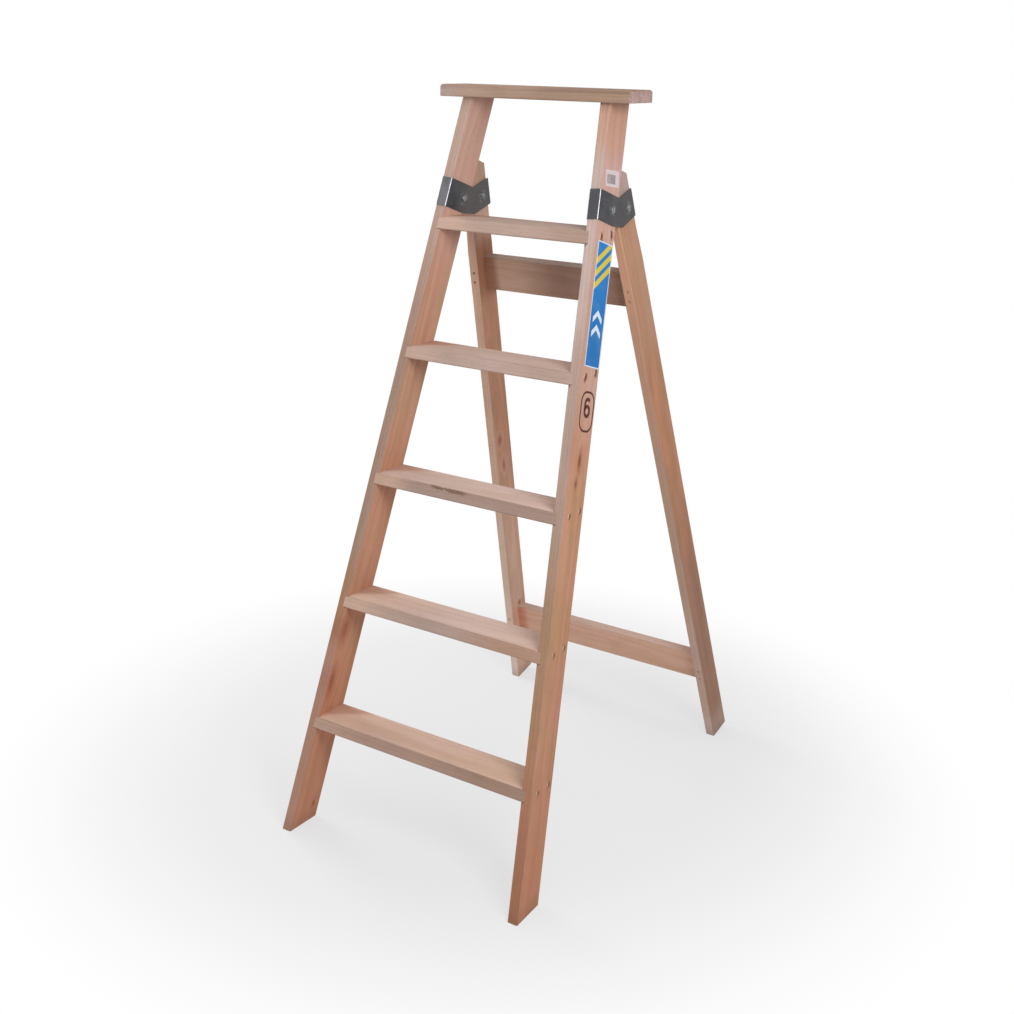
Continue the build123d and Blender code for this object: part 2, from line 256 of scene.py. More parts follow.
def knot_group():
    """A branch that runs through the thickness: its dark core, the rim round it and the swell of the rings.

    Distance = the ellipse round Centre, longer along the grain, with a ragged edge, in knot sizes.
    """
    bench, given, out = new_group(
        "knot", {"Place": ORIGIN, "Centre": ORIGIN, "Size": 0.01, "Length": 1.6}, ["Core", "Rim", "Swell"])
    along, _, over = bench.parts(bench.vectors("SUBTRACT", given["Place"], given["Centre"]))
    reach = bench.vectors("LENGTH", bench.joined(bench.ratio(along, given["Length"]), 0.0, over))
    reach = bench.ratio(reach, given["Size"])
    ragged = bench.times(bench.minus(bench.noise(given["Place"], 260.0), 0.5), 0.9)
    edge = bench.plus(reach, ragged)
    bench.feed(out["Core"], bench.step(edge, 1.1, 0.35))
    bench.feed(out["Rim"], bench.step(edge, 2.3, 0.8))
    bench.feed(out["Swell"], bench.times(bench.step(reach, 4.5, 0.3), given["Size"]))
    return bench.tree


def worn_arris_group():
    """Where hands and feet have rubbed the long edges: near both a wide and a narrow face, and patchy.

    Distance from the edge = the larger of (half thickness - |y|) and (half width - |z|).
    """
    bench, given, out = new_group(
        "worn_arris", {"Place": ORIGIN, "Half Thick": 0.012, "Half Wide": 0.043, "Reach": 0.003}, ["Worn"])
    _, through, over = bench.parts(given["Place"])
    from_wide = bench.minus(given["Half Thick"], bench.sums("ABSOLUTE", through))
    from_narrow = bench.minus(given["Half Wide"], bench.sums("ABSOLUTE", over))
    distance = bench.ratio(bench.most(from_wide, from_narrow), given["Reach"])
    patchy = bench.times(bench.drawn_out(given["Place"], RUB_CYCLES, 3.0), 1.3)
    bench.feed(out["Worn"], bench.step(bench.plus(distance, patchy), 1.5, 0.4))
    return bench.tree


# A span is (from, to) of a step. The pale chip in front of a nail, a painted highlight of its hole's lit rim:
# its place, shape, raggedness and rim
CHIP_PLACE = (1 * MM, 0.0, -6.5 * MM)
CHIP_SHAPE = (0.55, 1.0, 1.0)
CHIP_RAGGED = 6 * MM
CHIP_SPAN = 6.2 * MM, 4.5 * MM


def nail_stain_group():
    """A punched nail's dark bruise, iron stain with painted shade of its hole, stretched along the grain, and
    a pale chip in front of it, a painted highlight of the hole's lit rim.

    Place is where the nail pattern repeats, Where is the board's own place, so that no two marks agree.
    """
    bench, given, out = new_group(
        "nail_stain", {"Place": ORIGIN, "Where": ORIGIN, "Centre": ORIGIN, "Reach": 0.004, "Length": 2.0},
        ["Stain", "Glint"])
    offset = bench.vectors("SUBTRACT", given["Place"], given["Centre"])
    along, through, over = bench.parts(offset)
    uneven = bench.noise(given["Where"], 240.0)
    lean = bench.times(bench.minus(bench.noise(given["Where"], 9.0), 0.5), along)
    drawn = bench.joined(bench.ratio(along, given["Length"]), through, bench.plus(over, lean))
    reach = bench.ratio(bench.vectors("LENGTH", drawn), given["Reach"])
    edge = bench.plus(reach, bench.scaled(uneven, 1.6, -0.8))
    bench.feed(out["Stain"], bench.step(edge, 1.1, 0.7))
    torn = bench.vectors("MULTIPLY", bench.vectors("SUBTRACT", offset, CHIP_PLACE), CHIP_SHAPE)
    torn = bench.scaled(uneven, CHIP_RAGGED, bench.vectors("LENGTH", torn))
    bench.feed(out["Glint"], bench.step(torn, *CHIP_SPAN))
    return bench.tree


def handling_group():
    """Smudges from hands and storage: broad soft patches broken by finer ones."""
    bench, given, out = new_group("handling", {"Place": ORIGIN, "Scale": 7.0}, ["Smudge"])
    broad = bench.noise(given["Place"], given["Scale"], 3.0)
    fine = bench.noise(given["Place"], bench.times(given["Scale"], 9.0))
    both = bench.plus(broad, bench.times(fine, 0.35))
    bench.feed(out["Smudge"], bench.step(both, 0.62, 0.92))
    return bench.tree


# How deep the end grain's tints reach behind a saw cut
END_SPAN = -0.9 * MM, -0.5 * MM


def sawn_end_group():
    """End grain at the saw cut through Point, square to Normal, and the blotches in it.

    Depth = (place - point) . normal, which is 0 on the cut and below 0 inside the wood.
    """
    bench, given, out = new_group(
        "sawn_end", {"Place": ORIGIN, "Point": ORIGIN, "Normal": ORIGIN}, ["End", "Blotch"])
    offset = bench.vectors("SUBTRACT", given["Place"], given["Point"])
    end = bench.step(bench.vectors("DOT_PRODUCT", offset, given["Normal"]), *END_SPAN)
    bench.feed(out["End"], end)
    bench.feed(out["Blotch"], bench.times(end, bench.step(bench.noise(given["Place"], 95.0), 0.40, 0.62)))
    return bench.tree


# Painted shade in a tread's back corner by the left stile: how far it runs along the tread per step back,
# where it starts, its soft edge
CORNER_RUN = 1.4
CORNER_START = 17 * MM
CORNER_SOFT = 20 * MM


def corner_shade_group():
    """Painted shade in the back corner by a board's left end, where the stile shades it.

    Distance inward = along - (left end - start) - run * depth behind the front edge.
    """
    bench, given, out = new_group("painted_corner_shade", {"Along": 0.0, "From Front": 0.0, "Left": 0.0}, ["Dirt"])
    from_left = bench.minus(given["Along"], bench.minus(given["Left"], CORNER_START))
    inward = bench.scaled(given["From Front"], -CORNER_RUN, from_left)
    bench.feed(out["Dirt"], bench.step(inward, CORNER_SOFT, -CORNER_SOFT))
    return bench.tree


SCUFF_SPAN = 45 * MM, 2 * MM


def floor_scuff_group():
    """Scuffs near the floor, weaker where the fibres lie low."""
    bench, given, out = new_group("floor_scuff", {"Place": ORIGIN, "Fibres": 0.5}, ["Scuff"])
    near_floor = bench.step(bench.parts(given["Place"])[2], *SCUFF_SPAN)
    bench.feed(out["Scuff"], bench.times(near_floor, bench.plus(given["Fibres"], 0.2)))
    return bench.tree


BOARD_GRAIN = board_grain_group()
KNOT = knot_group()
WORN_ARRIS = worn_arris_group()
NAIL_STAIN = nail_stain_group()
HANDLING = handling_group()
SAWN_END = sawn_end_group()
CORNER_SHADE = corner_shade_group()
FLOOR_SCUFF = floor_scuff_group()


# Board coordinates

class Board:
    """Where a board lies: a corner or middle point, its grain direction and the direction through it.

    middle is (through, over) of the section's middle. front is 1 if z runs back from the edge that shows
    most, -1 if it runs towards it. slant is the lean that the front and back edges are planed to.
    """

    def __init__(self, start, along, through, thick, wide, middle=(0.0, 0.0), front=1, slant=0.0):
        self.start, self.along, self.through = Vector(start), Vector(along), Vector(through)
        self.over = self.along.cross(self.through)
        self.thick, self.wide, self.middle = thick, wide, middle
        self.front, self.slant = front, slant

    def turn(self):
        """Turn from the object's axes to the board's."""
        return Matrix((self.along, self.through, self.over)).transposed().to_euler("XYZ")

    def find(self, point):
        """Board coordinates of a point of the object."""
        offset = Vector(point) - self.start
        return offset.dot(self.along), offset.dot(self.through), offset.dot(self.over)


def leaning(side, lean):
    """Grain, outward and back directions of a splayed board that leans in the side plane; side is 1 or -1."""
    grain = (-side * math.sin(SPLAY), math.cos(SPLAY) * math.sin(lean), math.cos(SPLAY) * math.cos(lean))
    outward = (side * math.cos(SPLAY), math.sin(SPLAY) * math.sin(lean), math.sin(SPLAY) * math.cos(lean))
    return Vector(grain), Vector(outward), Vector((0, math.cos(lean), -math.sin(lean)))


def node_points(node):
    """All points of a CAD node as an array of rows."""
    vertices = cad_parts[node].data.vertices
    points = np.empty(len(vertices) * 3)
    vertices.foreach_get("co", points)
    return points.reshape(-1, 3)


def upright_board(node, side, lean, thick, wide):
    """A stile or leg: x up from the floor and z back from the front edge; y is 0 on the outer face.

    The start is where the outer face's front edge, carried down along the grain, meets the floor.
    """
    grain, outward, back = leaning(side, lean)
    points = node_points(node)
    outmost = float((points @ np.array(outward)).max())
    foremost = float((points @ np.array(back)).min())
    corner = outward * outmost + back * foremost
    start = corner - grain * (corner.z / grain.z)
    return Board(start, grain, outward * side, thick, wide, (-side * thick / 2, wide / 2))


def level_board(node, thick, slant=0.0):
    """A tread or the plank: x to the right, y up and z to the front, from its middle."""
    low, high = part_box(node)
    return Board((low + high) / 2, (1, 0, 0), (0, 0, 1), thick, high.y - low.y - thick * slant, front=-1,
                 slant=slant)


def rail_board(node):
    """A rail between the legs: x to the right, y back through it and z up it, from its middle."""
    low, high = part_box(node)
    back = (0, math.cos(REAR_LEAN), math.sin(REAR_LEAN))
    return Board((low + high) / 2, (1, 0, 0), back, RAIL_THICK, RAIL_WIDE, front=-1)


RIGHT_STILE = upright_board("right_stile", 1, FRONT_LEAN, STILE_THICK, STILE_WIDE)
LEFT_STILE = upright_board("left_stile", -1, FRONT_LEAN, STILE_THICK, STILE_WIDE)
RIGHT_LEG = upright_board("right_rear_leg", 1, -REAR_LEAN, LEG_THICK, LEG_WIDE)
LEFT_LEG = upright_board("left_rear_leg", -1, -REAR_LEAN, LEG_THICK, LEG_WIDE)


# What all materials share

def new_material(name):
    """A node material with one Principled shader; returns it with its bench and shader."""
    material = bpy.data.materials.new(name)
    material.use_nodes = True
    bench = Bench(material.node_tree)
    shader = material.node_tree.nodes["Principled BSDF"]
    return material, bench, shader


def object_place(bench):
    """A point of the object, which is the same for all its pieces."""
    return bench.put("ShaderNodeTexCoord").outputs["Object"]


def print_place(bench):
    """(across, up) on a printed piece, in metres from its lower front corner."""
    return bench.parts(bench.put("ShaderNodeUVMap", uv_map="print").outputs[0])[:2]


def board_place(bench, board):
    """Object coordinates turned into the board's own."""
    return bench.put("ShaderNodeMapping", {"Vector": object_place(bench), "Location": board.start,
                                           "Rotation": board.turn()}, vector_type="TEXTURE").outputs[0]


def lay_finish(bench, shader, colour, roughness, relief, depth):
    """Gives the shader its colour and roughness, and a bump as deep as depth where the relief is 1."""
    bench.feed(shader.inputs["Base Color"], colour)
    bench.feed(shader.inputs["Roughness"], roughness)
    bump = bench.put("ShaderNodeBump", {"Height": relief, "Distance": depth, "Strength": 1.0})
    bench.feed(shader.inputs["Normal"], bump.outputs[0])


# Each board's timber: two ground colours that lie in patches along the grain
STILE_TIMBER = (199, 147, 121), (188, 144, 110)
RIGHT_LEG_TIMBER = (194, 138, 109), (177, 132, 100)
LEFT_LEG_TIMBER = (206, 152, 126), (193, 148, 119)
WARM_TREAD = (206, 174, 159), (203, 173, 152)
PINK_TREAD = (204, 178, 168), (200, 175, 161)
PALE_TREAD = (195, 169, 160), (192, 168, 154)
DULL_TREAD = (182, 157, 147), (178, 155, 141)
PLANK_TIMBER = (188, 160, 142), (181, 154, 132)
LOWER_RAIL_TIMBER = (221, 178, 156), (214, 174, 147)
UPPER_RAIL_TIMBER = (209, 175, 156), (203, 169, 147)

# What the late wood, the red streaks and the pores multiply the ground by
LATE_TINT = (0.70, 0.58, 0.50, 1.0)
RED_TINT = (0.80, 0.60, 0.54, 1.0)
PORE_TINT = (0.46, 0.38, 0.34, 1.0)

# Where light, feet and hands have changed the stiles
BLEACHED = (203, 168, 157)
WARM_TOP = (199, 153, 129)
PINK_STILE = (202, 166, 160)
RUDDY_FOOT = (189, 126, 95)
RUDDY_FOOT_EDGE = (158, 108, 84)
PINK_FOOT_EDGE = (192, 153, 137)
TAN_EDGE = (160, 138, 112)
# Painted frontal light: the paler, greyer tints on the stiles' front edges higher up
PINK_EDGE = (188, 167, 157)
DULL_EDGE = (174, 166, 155)
PALE_EDGE = (206, 177, 161)
PALE_STILE_EDGE = (206, 185, 177)

# The treads and the plank
# Painted light: the lit cream left ends of the treads
LIT_CREAM_END = (242, 203, 178)
DULL_FRONT = (160, 130, 116)
RUBBED_FRONT = (208, 179, 165)
HANDLED_FRONT = (150, 120, 102)
WARM_FRONT = (190, 150, 128)
# Painted shade in the treads' back corners by the left stile
SHADED_TREAD_CORNER = (172, 122, 98)
TRODDEN_GREY = (128, 102, 88)
BROWN_PLANK_FRONT = (166, 138, 116)
PALE_PLANK_FRONT = (208, 180, 164)
GREY_PLANK_END = (196, 178, 170)

# The rear legs and rails
GREYED = (160, 127, 110)
PALE_LEG = (221, 189, 168)
PALE_FOOT = (190, 166, 153)
PALE_LEG_TOP = (198, 166, 150)
# Painted shade on the legs' tops and wedges under the straps
SHADED_LEG_TOP = (180, 141, 114)
SHADED_PINK_WEDGE = (172, 155, 151)
SHADED_DULL_WEDGE = (173, 143, 123)
# Painted frontal light along the left leg's front edge
PALE_LEG_EDGE = (224, 190, 166)
GREYED_LEG_EDGE = (222, 203, 183)
PALE_FOOT_EDGE = (236, 222, 216)
# Painted frontal light along the right leg's front edge
GREY_LEG_EDGE = (188, 158, 138)
PINK_LEG_EDGE = (198, 168, 152)
WARM_LEG_EDGE = (202, 155, 128)
PALE_EDGE_TOP = (214, 166, 137)
SHADED_CORNER = (158, 110, 84)
# Painted shade in the lower rail's left corner by the leg
RUDDY_CORNER_SHADE = (198, 132, 104)
# Painted shadow over the upper rail's right part
BROWN_RAIL_SHADOW = (132, 101, 87)
DULL_RAIL_TOP = (201, 173, 159)
GREY_RAIL_TOP = (165, 155, 150)

# Marks in and on any board
KNOT_BROWN = (122, 64, 44)
KNOT_RIM = (164, 92, 70)
RESIN_BROWN = (116, 90, 62)
# Iron stain; round the nails it also stands for painted shade in the punched holes
IRON_STAIN = (104, 66, 50)
# Painted highlight on the lit rim of each punched nail hole
PALE_CHIP_HIGHLIGHT = (226, 200, 184)
HANDLED_GREY = (142, 117, 104)
HANDLED_BROWN = (148, 108, 86)
SMUDGE_GREY = (128, 104, 92)
END_PINK = (190, 163, 166)
END_GREY = (140, 114, 110)
SCUFF_BROWN = (112, 84, 70)

# How deep the tints of a board's front edge and of its upper face reach
EDGE_SPAN = 1.6 * MM, 0.6 * MM
UPPER_END, UPPER_FULL = 12 * MM, 2 * MM

# Nail bruises, iron stain with painted shade of the punched holes: their length in reaches, and their reach
# and share, which both grow with the height
BRUISE_LENGTH = 1.7
BRUISE_REACH, REACH_GROWTH, REACH_SPAN = 4.8 * MM, 1.6 * MM, (0.9, 1.1)
BRUISE_SHARE, SHARE_GROWTH, SHARE_SPAN = 0.50, 0.35, (0.75, 1.15)

# How strongly the figure and the wear tint the wood
STREAKS_TO_LATE = 1.3
PORE_SHARE, RIM_SHARE, RESIN_SHARE = 0.35, 0.50, 0.70
END_SHARE, BLOTCH_SHARE, END_RING_SHARE = 0.6, 0.40, 0.5
ARRIS_SHARE, SMUDGE_SHARE, SCUFF_SHARE = 0.34, 0.09, 0.30

# The rest of the wear and the surface; a shade or a dullness is (gain, base) on the fibres
GRAIN_WANDER = 30 * MM
ARRIS_REACH = 4 * MM
SMUDGE_CYCLES = 6.5
FIBRE_SHADE = 0.34, 0.85
WOOD_DULLNESS = 0.16, 0.78
WORN_GLOSS = 0.12
WOOD_SPECULAR = 0.25

# Relief, and the share of it that rings, fibres, pores and punched nails take
WOOD_RELIEF = 0.12 * MM
RING_RELIEF, FIBRE_RELIEF, PORE_RELIEF, NAIL_RELIEF = 0.35, 0.6, 0.7, 2.5


class Surface:
    """A board's surface while its wood is made up: the bench and the coordinates that marks are placed by.

    from_front is the depth behind the front edge; edge and upper are the masks of that edge and of the
    upper face.
    """

    def __init__(self, bench, board):
        self.bench, self.board = bench, board
        self.place = board_place(bench, board)
        self.along, self.through, self.over = bench.parts(self.place)
        centred_over = bench.plus(bench.minus(self.over, board.middle[1]),
                                  bench.times(self.through, board.slant))
        centred_through = bench.minus(self.through, board.middle[0])
        self.centred = bench.joined(self.along, centred_through, centred_over)
        self.from_front = bench.scaled(centred_over, board.front, board.wide / 2)
        self.edge = bench.step(self.from_front, *EDGE_SPAN)
        half = board.thick / 2
        self.upper = bench.step(centred_through, half - UPPER_END, half - UPPER_FULL)

    def tinted(self, wood, tints, mask=None):
        """The wood with tints (from, to, share, colour) that come in along the board, under the mask."""
        for start, end, share, colour in tints:
            there = self.bench.step(self.along, start, end)
            if mask is not None:
                there = self.bench.times(there, mask)
            wood = self.bench.tint(wood, there, share, colour)
        return wood

    def knot_masks(self, knots):
        """Swell of the rings, dark cores and rims of all knots: (centre, size, length, dark)."""
        bench = self.bench
        swell, core, rim = 0.0, 0.0, 0.0
        for centre, size, length, dark in knots:
            knot = bench.group(KNOT, Place=self.place, Centre=centre, Size=size, Length=length)
            swell = bench.plus(knot["Swell"], swell)
            core = bench.most(bench.times(knot["Core"], dark), core)
            rim = bench.most(knot["Rim"], rim)
        return swell, core, rim

    def nail_masks(self, nails):
        """Stain, with painted shade of the holes, and the pale chip, a painted highlight of their lit rims,
        round the nails, which repeat along the board at the treads' pitch.
        """
        bench = self.bench
        repeated = bench.sums("WRAP", self.along, 1.5 * NAIL_PITCH, 0.5 * NAIL_PITCH)
        marked = bench.joined(repeated, self.through, self.over)
        stain, glint = 0.0, 0.0
        for centre in nails:
            reach = bench.scaled(bench.step(self.along, *REACH_SPAN), REACH_GROWTH, BRUISE_REACH)
            found = bench.group(NAIL_STAIN, Place=marked, Where=self.place, Centre=centre, Reach=reach,
                                Length=BRUISE_LENGTH)
            stain = bench.most(found["Stain"], stain)
            glint = bench.most(found["Glint"], glint)
        return stain, glint

    def painted_corner_shade(self, wood, left, share, colour):
        """The wood with painted shade on top of it, in the back corner by its left end."""
        bench = self.bench
        shading = bench.group(CORNER_SHADE, Along=self.along, From_Front=self.from_front, Left=left)["Dirt"]
        return bench.tint(wood, bench.times(shading, self.upper), share, colour)

    def sawn(self, wood, grain, ends):
        """The wood with pink and grey end grain at its sawn ends, each a (point, normal)."""
        bench = self.bench
        end, blotch = 0.0, 0.0
        for point, normal in ends:
            cut = bench.group(SAWN_END, Place=object_place(bench), Point=point, Normal=normal)
            end = bench.most(cut["End"], end)
            blotch = bench.most(cut["Blotch"], blotch)
        wood = bench.tint(wood, end, END_SHARE, END_PINK)
        wood = bench.tint(wood, blotch, BLOTCH_SHARE, END_GREY)
        return bench.tint(wood, bench.times(end, grain["Rings"]), END_RING_SHARE, LATE_TINT, "MULTIPLY")

    def worn_arris(self):
        """Mask of the rubbed long edges."""
        board = self.board
        return self.bench.group(WORN_ARRIS, Place=self.centred, Half_Thick=board.thick / 2,
                                Half_Wide=board.wide / 2, Reach=ARRIS_REACH)["Worn"]


def timber(name, board, ground, heart, ring_width, seed, late=0.24, knots=(), nails=(), ends=(), fades=(),
           edge=(), top=(), resin=(), corner=None, arris=HANDLED_GREY):
    """Planed, unfinished wood for one board.

    ground is the pair of ground colours. heart is a point on the axis of the growth rings, seed picks the
    board's place in the noise, and late is the share of the late wood's tint. knots and nails are points
    in board coordinates, a knot with its size, its length in sizes and how dark its core is. ends are
    (point, normal) of the sawn ends. fades are (from, to, share, colour) along the board, where light and
    hands have changed its ground and where light and shade are painted, edge the same for its front edge
    alone, where frontal light is painted on the stiles and legs, and top for its upper face.
    resin lists brown streaks: point, reach, length. corner is (left end, share, colour) of the painted
    shade on top of it, in the back corner by the left stile. arris is the colour of the rubbed long edges.
    of it, in the back corner by the left stile. arris is the colour of the rubbed long edges.
    """
    material, bench, shader = new_material(name)
    surface = Surface(bench, board)
    swell, core, rim = surface.knot_masks(knots)
    grain = bench.group(BOARD_GRAIN, Place=surface.place, Heart=heart, Ring_Width=ring_width,
                        Wander=GRAIN_WANDER, Seed=seed, Swell=swell)

    wood = bench.blend(grain["Patches"], *ground)
    wood = surface.tinted(wood, fades)
    wood = surface.tinted(wood, edge, surface.edge)
    wood = surface.tinted(wood, top, surface.upper)
    if corner:
        wood = surface.painted_corner_shade(wood, *corner)

    wood = bench.tint(wood, grain["Rings"], late, LATE_TINT, "MULTIPLY")
    wood = bench.tint(wood, grain["Streaks"], STREAKS_TO_LATE * late, RED_TINT, "MULTIPLY")
    wood = bench.shaded(wood, bench.scaled(grain["Fibres"], *FIBRE_SHADE))
    wood = bench.tint(wood, grain["Pores"], PORE_SHARE, PORE_TINT, "MULTIPLY")
    if knots:
        wood = bench.tint(wood, rim, RIM_SHARE, KNOT_RIM)
        wood = bench.blend(core, wood, KNOT_BROWN)
    for centre, reach, length in resin:
        streak = bench.group(NAIL_STAIN, Place=surface.place, Where=surface.place, Centre=centre, Reach=reach,
                             Length=length)
        wood = bench.tint(wood, streak["Stain"], RESIN_SHARE, RESIN_BROWN)
    if ends:
        wood = surface.sawn(wood, grain, ends)

    worn = surface.worn_arris()
    wood = bench.tint(wood, worn, ARRIS_SHARE, arris)
    smudge = bench.group(HANDLING, Place=object_place(bench), Scale=SMUDGE_CYCLES)["Smudge"]
    wood = bench.tint(wood, smudge, SMUDGE_SHARE, SMUDGE_GREY)
    scuff = bench.group(FLOOR_SCUFF, Place=object_place(bench), Fibres=grain["Fibres"])["Scuff"]
    wood = bench.tint(wood, scuff, SCUFF_SHARE, SCUFF_BROWN)

    relief = bench.scaled(grain["Rings"], RING_RELIEF, bench.times(grain["Fibres"], FIBRE_RELIEF))
    relief = bench.minus(relief, bench.times(grain["Pores"], PORE_RELIEF))
    if nails:
        stain, glint = surface.nail_masks(nails)
        share = bench.scaled(bench.step(surface.along, *SHARE_SPAN), SHARE_GROWTH, BRUISE_SHARE)
        # Painted highlight on the holes' lit rims, then the bruise: iron stain with painted shade of the
        # holes
        wood = bench.tint(wood, glint, share, PALE_CHIP_HIGHLIGHT)
        wood = bench.tint(wood, stain, share, IRON_STAIN)
        relief = bench.minus(relief, bench.times(stain, NAIL_RELIEF))

    dullness = bench.scaled(grain["Fibres"], *WOOD_DULLNESS)
    dullness = bench.minus(dullness, bench.times(worn, WORN_GLOSS))
    shader.inputs["Specular IOR Level"].default_value = WOOD_SPECULAR
    lay_finish(bench, shader, wood, dullness, relief, WOOD_RELIEF)
    return material


# Steel and iron

SLATE_STEEL = (44, 45, 52)
SLATE_PALE = (58, 58, 62)
SLATE_LIGHT = (94, 98, 102)
SLATE_WORN = (104, 97, 95)
WEB_GREY = (134, 132, 137)
RUBBED_SLATE = (138, 143, 143)
# Painted highlight along the straps' folds
FOLD_HIGHLIGHT_STEEL = (240, 241, 244)

# Cycles per metre along, through and across the stile
ROLLING_CYCLES = (1500.0, 60.0, 60.0)
SCRATCH_CYCLES = (190.0, 30.0, 30.0)
HAMMER_CYCLES = (160.0, 160.0, 90.0)
FOLD_CYCLES = (60.0, 400.0, 400.0)

# Where the straps are rubbed: back along the sides, round the rivets and on the front; and where the
# highlight along the two folds is painted
CHEEK_SPAN = 15 * MM, 80 * MM
HAMMER_SPAN = 20 * MM, 7 * MM
WEB_SPAN = 0.2 * MM, -0.2 * MM
FOLD_OUT_SPAN = STILE_THICK / 2 + 0.1 * MM, STILE_THICK / 2 + 0.5 * MM
FOLD_FRONT_SPAN = 0.1 * MM, -0.3 * MM
STRAP_RELIEF, SMUDGE_RELIEF = 0.03 * MM, 1.5
STRAP_SPECULAR = 0.25
# (gain, base) of the rolling lines' shade, of the smudges' dullness and of the metal in the folds' painted
# highlight
ROLLED_SHADE, STRAP_DULLNESS, STRAP_METALLIC = (0.4, 0.8), (0.16, 0.50), (0.3, 0.35)
MOTTLE_SHARE, SCRATCH_SHARE, HAMMER_SHARE = 0.5, 0.40, 0.55


def strap_steel(name, board, web_wear, cheek_wear, rivets):
    """Dark slate steel sheet: soft mottling, fine rolling lines and a painted highlight along the two folds,
    which are made metallic there.

    web_wear and cheek_wear are how far the strap's front and the back of its sides have been rubbed to a
    lighter grey. Round each of the rivets the hammer has left pale scratches.
    """
    material, bench, shader = new_material(name)
    place = board_place(bench, board)
    along, through, over = bench.parts(place)
    smudge = bench.group(HANDLING, Place=place, Scale=26.0)["Smudge"]
    rolled = bench.drawn_out(place, ROLLING_CYCLES)
    scratched = bench.step(bench.drawn_out(place, SCRATCH_CYCLES, 4.0, 0.7), 0.56, 0.74)
    cast = bench.step(bench.noise(place, 24.0, 1.0), 0.38, 0.62)
    sheet = bench.blend(cast, SLATE_STEEL, SLATE_PALE)
    sheet = bench.tint(sheet, smudge, MOTTLE_SHARE, SLATE_LIGHT)
    sheet = bench.tint(sheet, scratched, SCRATCH_SHARE, SLATE_LIGHT)
    sheet = bench.tint(sheet, bench.step(over, *CHEEK_SPAN), cheek_wear, SLATE_WORN)

    uneven = bench.step(bench.drawn_out(place, HAMMER_CYCLES, 3.0, 0.6), 0.46, 0.62)
    for node in rivets:
        low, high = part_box(node)
        up, _, back = board.find((low + high) / 2)
        away = bench.vectors("LENGTH", bench.joined(bench.minus(along, up), 0.0, bench.minus(over, back)))
        hammered = bench.times(bench.step(away, *HAMMER_SPAN), uneven)
        sheet = bench.tint(sheet, hammered, HAMMER_SHARE, RUBBED_SLATE)
    sheet = bench.shaded(sheet, bench.scaled(rolled, *ROLLED_SHADE))

    web = bench.times(bench.step(over, *WEB_SPAN), bench.scaled(smudge, -0.5, 1.0))
    sheet = bench.tint(sheet, web, web_wear, WEB_GREY)
    side = bench.sums("ABSOLUTE", bench.minus(through, board.middle[0]))
    beyond = bench.step(side, *FOLD_OUT_SPAN)
    forward = bench.step(over, *FOLD_FRONT_SPAN)
    patchy = bench.step(bench.drawn_out(place, FOLD_CYCLES), 0.25, 0.45)
    fold = bench.times(bench.times(beyond, forward), patchy)
    # Painted highlight along the folds, where the steel is also made metallic
    sheet = bench.blend(fold, sheet, FOLD_HIGHLIGHT_STEEL)

    bench.feed(shader.inputs["Metallic"], bench.scaled(fold, *STRAP_METALLIC))
    shader.inputs["Specular IOR Level"].default_value = STRAP_SPECULAR
    relief = bench.plus(rolled, bench.times(smudge, SMUDGE_RELIEF))
    lay_finish(bench, shader, sheet, bench.scaled(smudge, *STRAP_DULLNESS), relief, STRAP_RELIEF)
    return material


RIVET_GREY = (128, 131, 135)
RIVET_DARK = (54, 57, 61)
RIVET_METALLIC = 0.6
RIVET_PITS = -0.05 * MM


def rivet_steel():
    """Pressed rivet heads: lighter than the straps, darker in the worn pits and scratched."""
    material, bench, shader = new_material("rivet_steel")
    place = object_place(bench)
    smudge = bench.group(HANDLING, Place=place, Scale=160.0)["Smudge"]
    pits = bench.step(bench.noise(place, 900.0), 0.56, 0.72)
    head = bench.tint(RIVET_GREY, smudge, 0.7, RIVET_DARK)
    head = bench.tint(head, pits, 0.5, RIVET_DARK)
    shader.inputs["Metallic"].default_value = RIVET_METALLIC
    lay_finish(bench, shader, head, bench.scaled(smudge, 0.25, 0.30), pits, RIVET_PITS)
    return material


NAIL_IRON = (124, 86, 68)
NAIL_BRIGHT = (150, 130, 116)
NAIL_RUST = (150, 98, 74)
RUST_SPAN = 1.0, 0.7
RUST_CYCLES = 700.0
RUST_RELIEF = 0.08 * MM


def nail_iron():
    """Punched nail heads: dark iron with brown rust and a few bright rubbed spots, the low ones rustier."""
    material, bench, shader = new_material("nail_iron")
    place = object_place(bench)
    rust = bench.noise(place, RUST_CYCLES, 3.0)
    bright = bench.step(bench.noise(place, 330.0, 1.0), 0.58, 0.70)
    head = bench.blend(bench.step(rust, 0.4, 0.65), NAIL_IRON, IRON_STAIN)
    low = bench.step(bench.parts(place)[2], *RUST_SPAN)
    head = bench.tint(head, low, 0.7, NAIL_RUST)
    head = bench.blend(bright, head, NAIL_BRIGHT)
    bench.feed(shader.inputs["Metallic"], bench.times(bright, 0.5))
    lay_finish(bench, shader, head, bench.scaled(bright, -0.3, 0.7), rust, RUST_RELIEF)
    return material


FILLER_BROWN = (196, 148, 122)
FILLER_PALE = (186, 148, 128)
FILLER_DULL = (168, 130, 110)
LEFT_SPAN = 50 * MM, -50 * MM


def filled_pin(name, filler, iron):
    """Rail pins punched home and filled: on the left leg dark iron still shows through by the share iron."""
    material, bench, shader = new_material(name)
    place = object_place(bench)
    grit = bench.noise(place, RUST_CYCLES, 3.0)
    left = bench.step(bench.parts(place)[0], *LEFT_SPAN)
    head = bench.blend(bench.step(grit, 0.4, 0.65), filler, FILLER_DULL)
    head = bench.tint(head, left, iron, IRON_STAIN)
    lay_finish(bench, shader, head, bench.scaled(grit, 0.2, 0.6), grit, RUST_RELIEF)
    return material


# What each CAD node wears

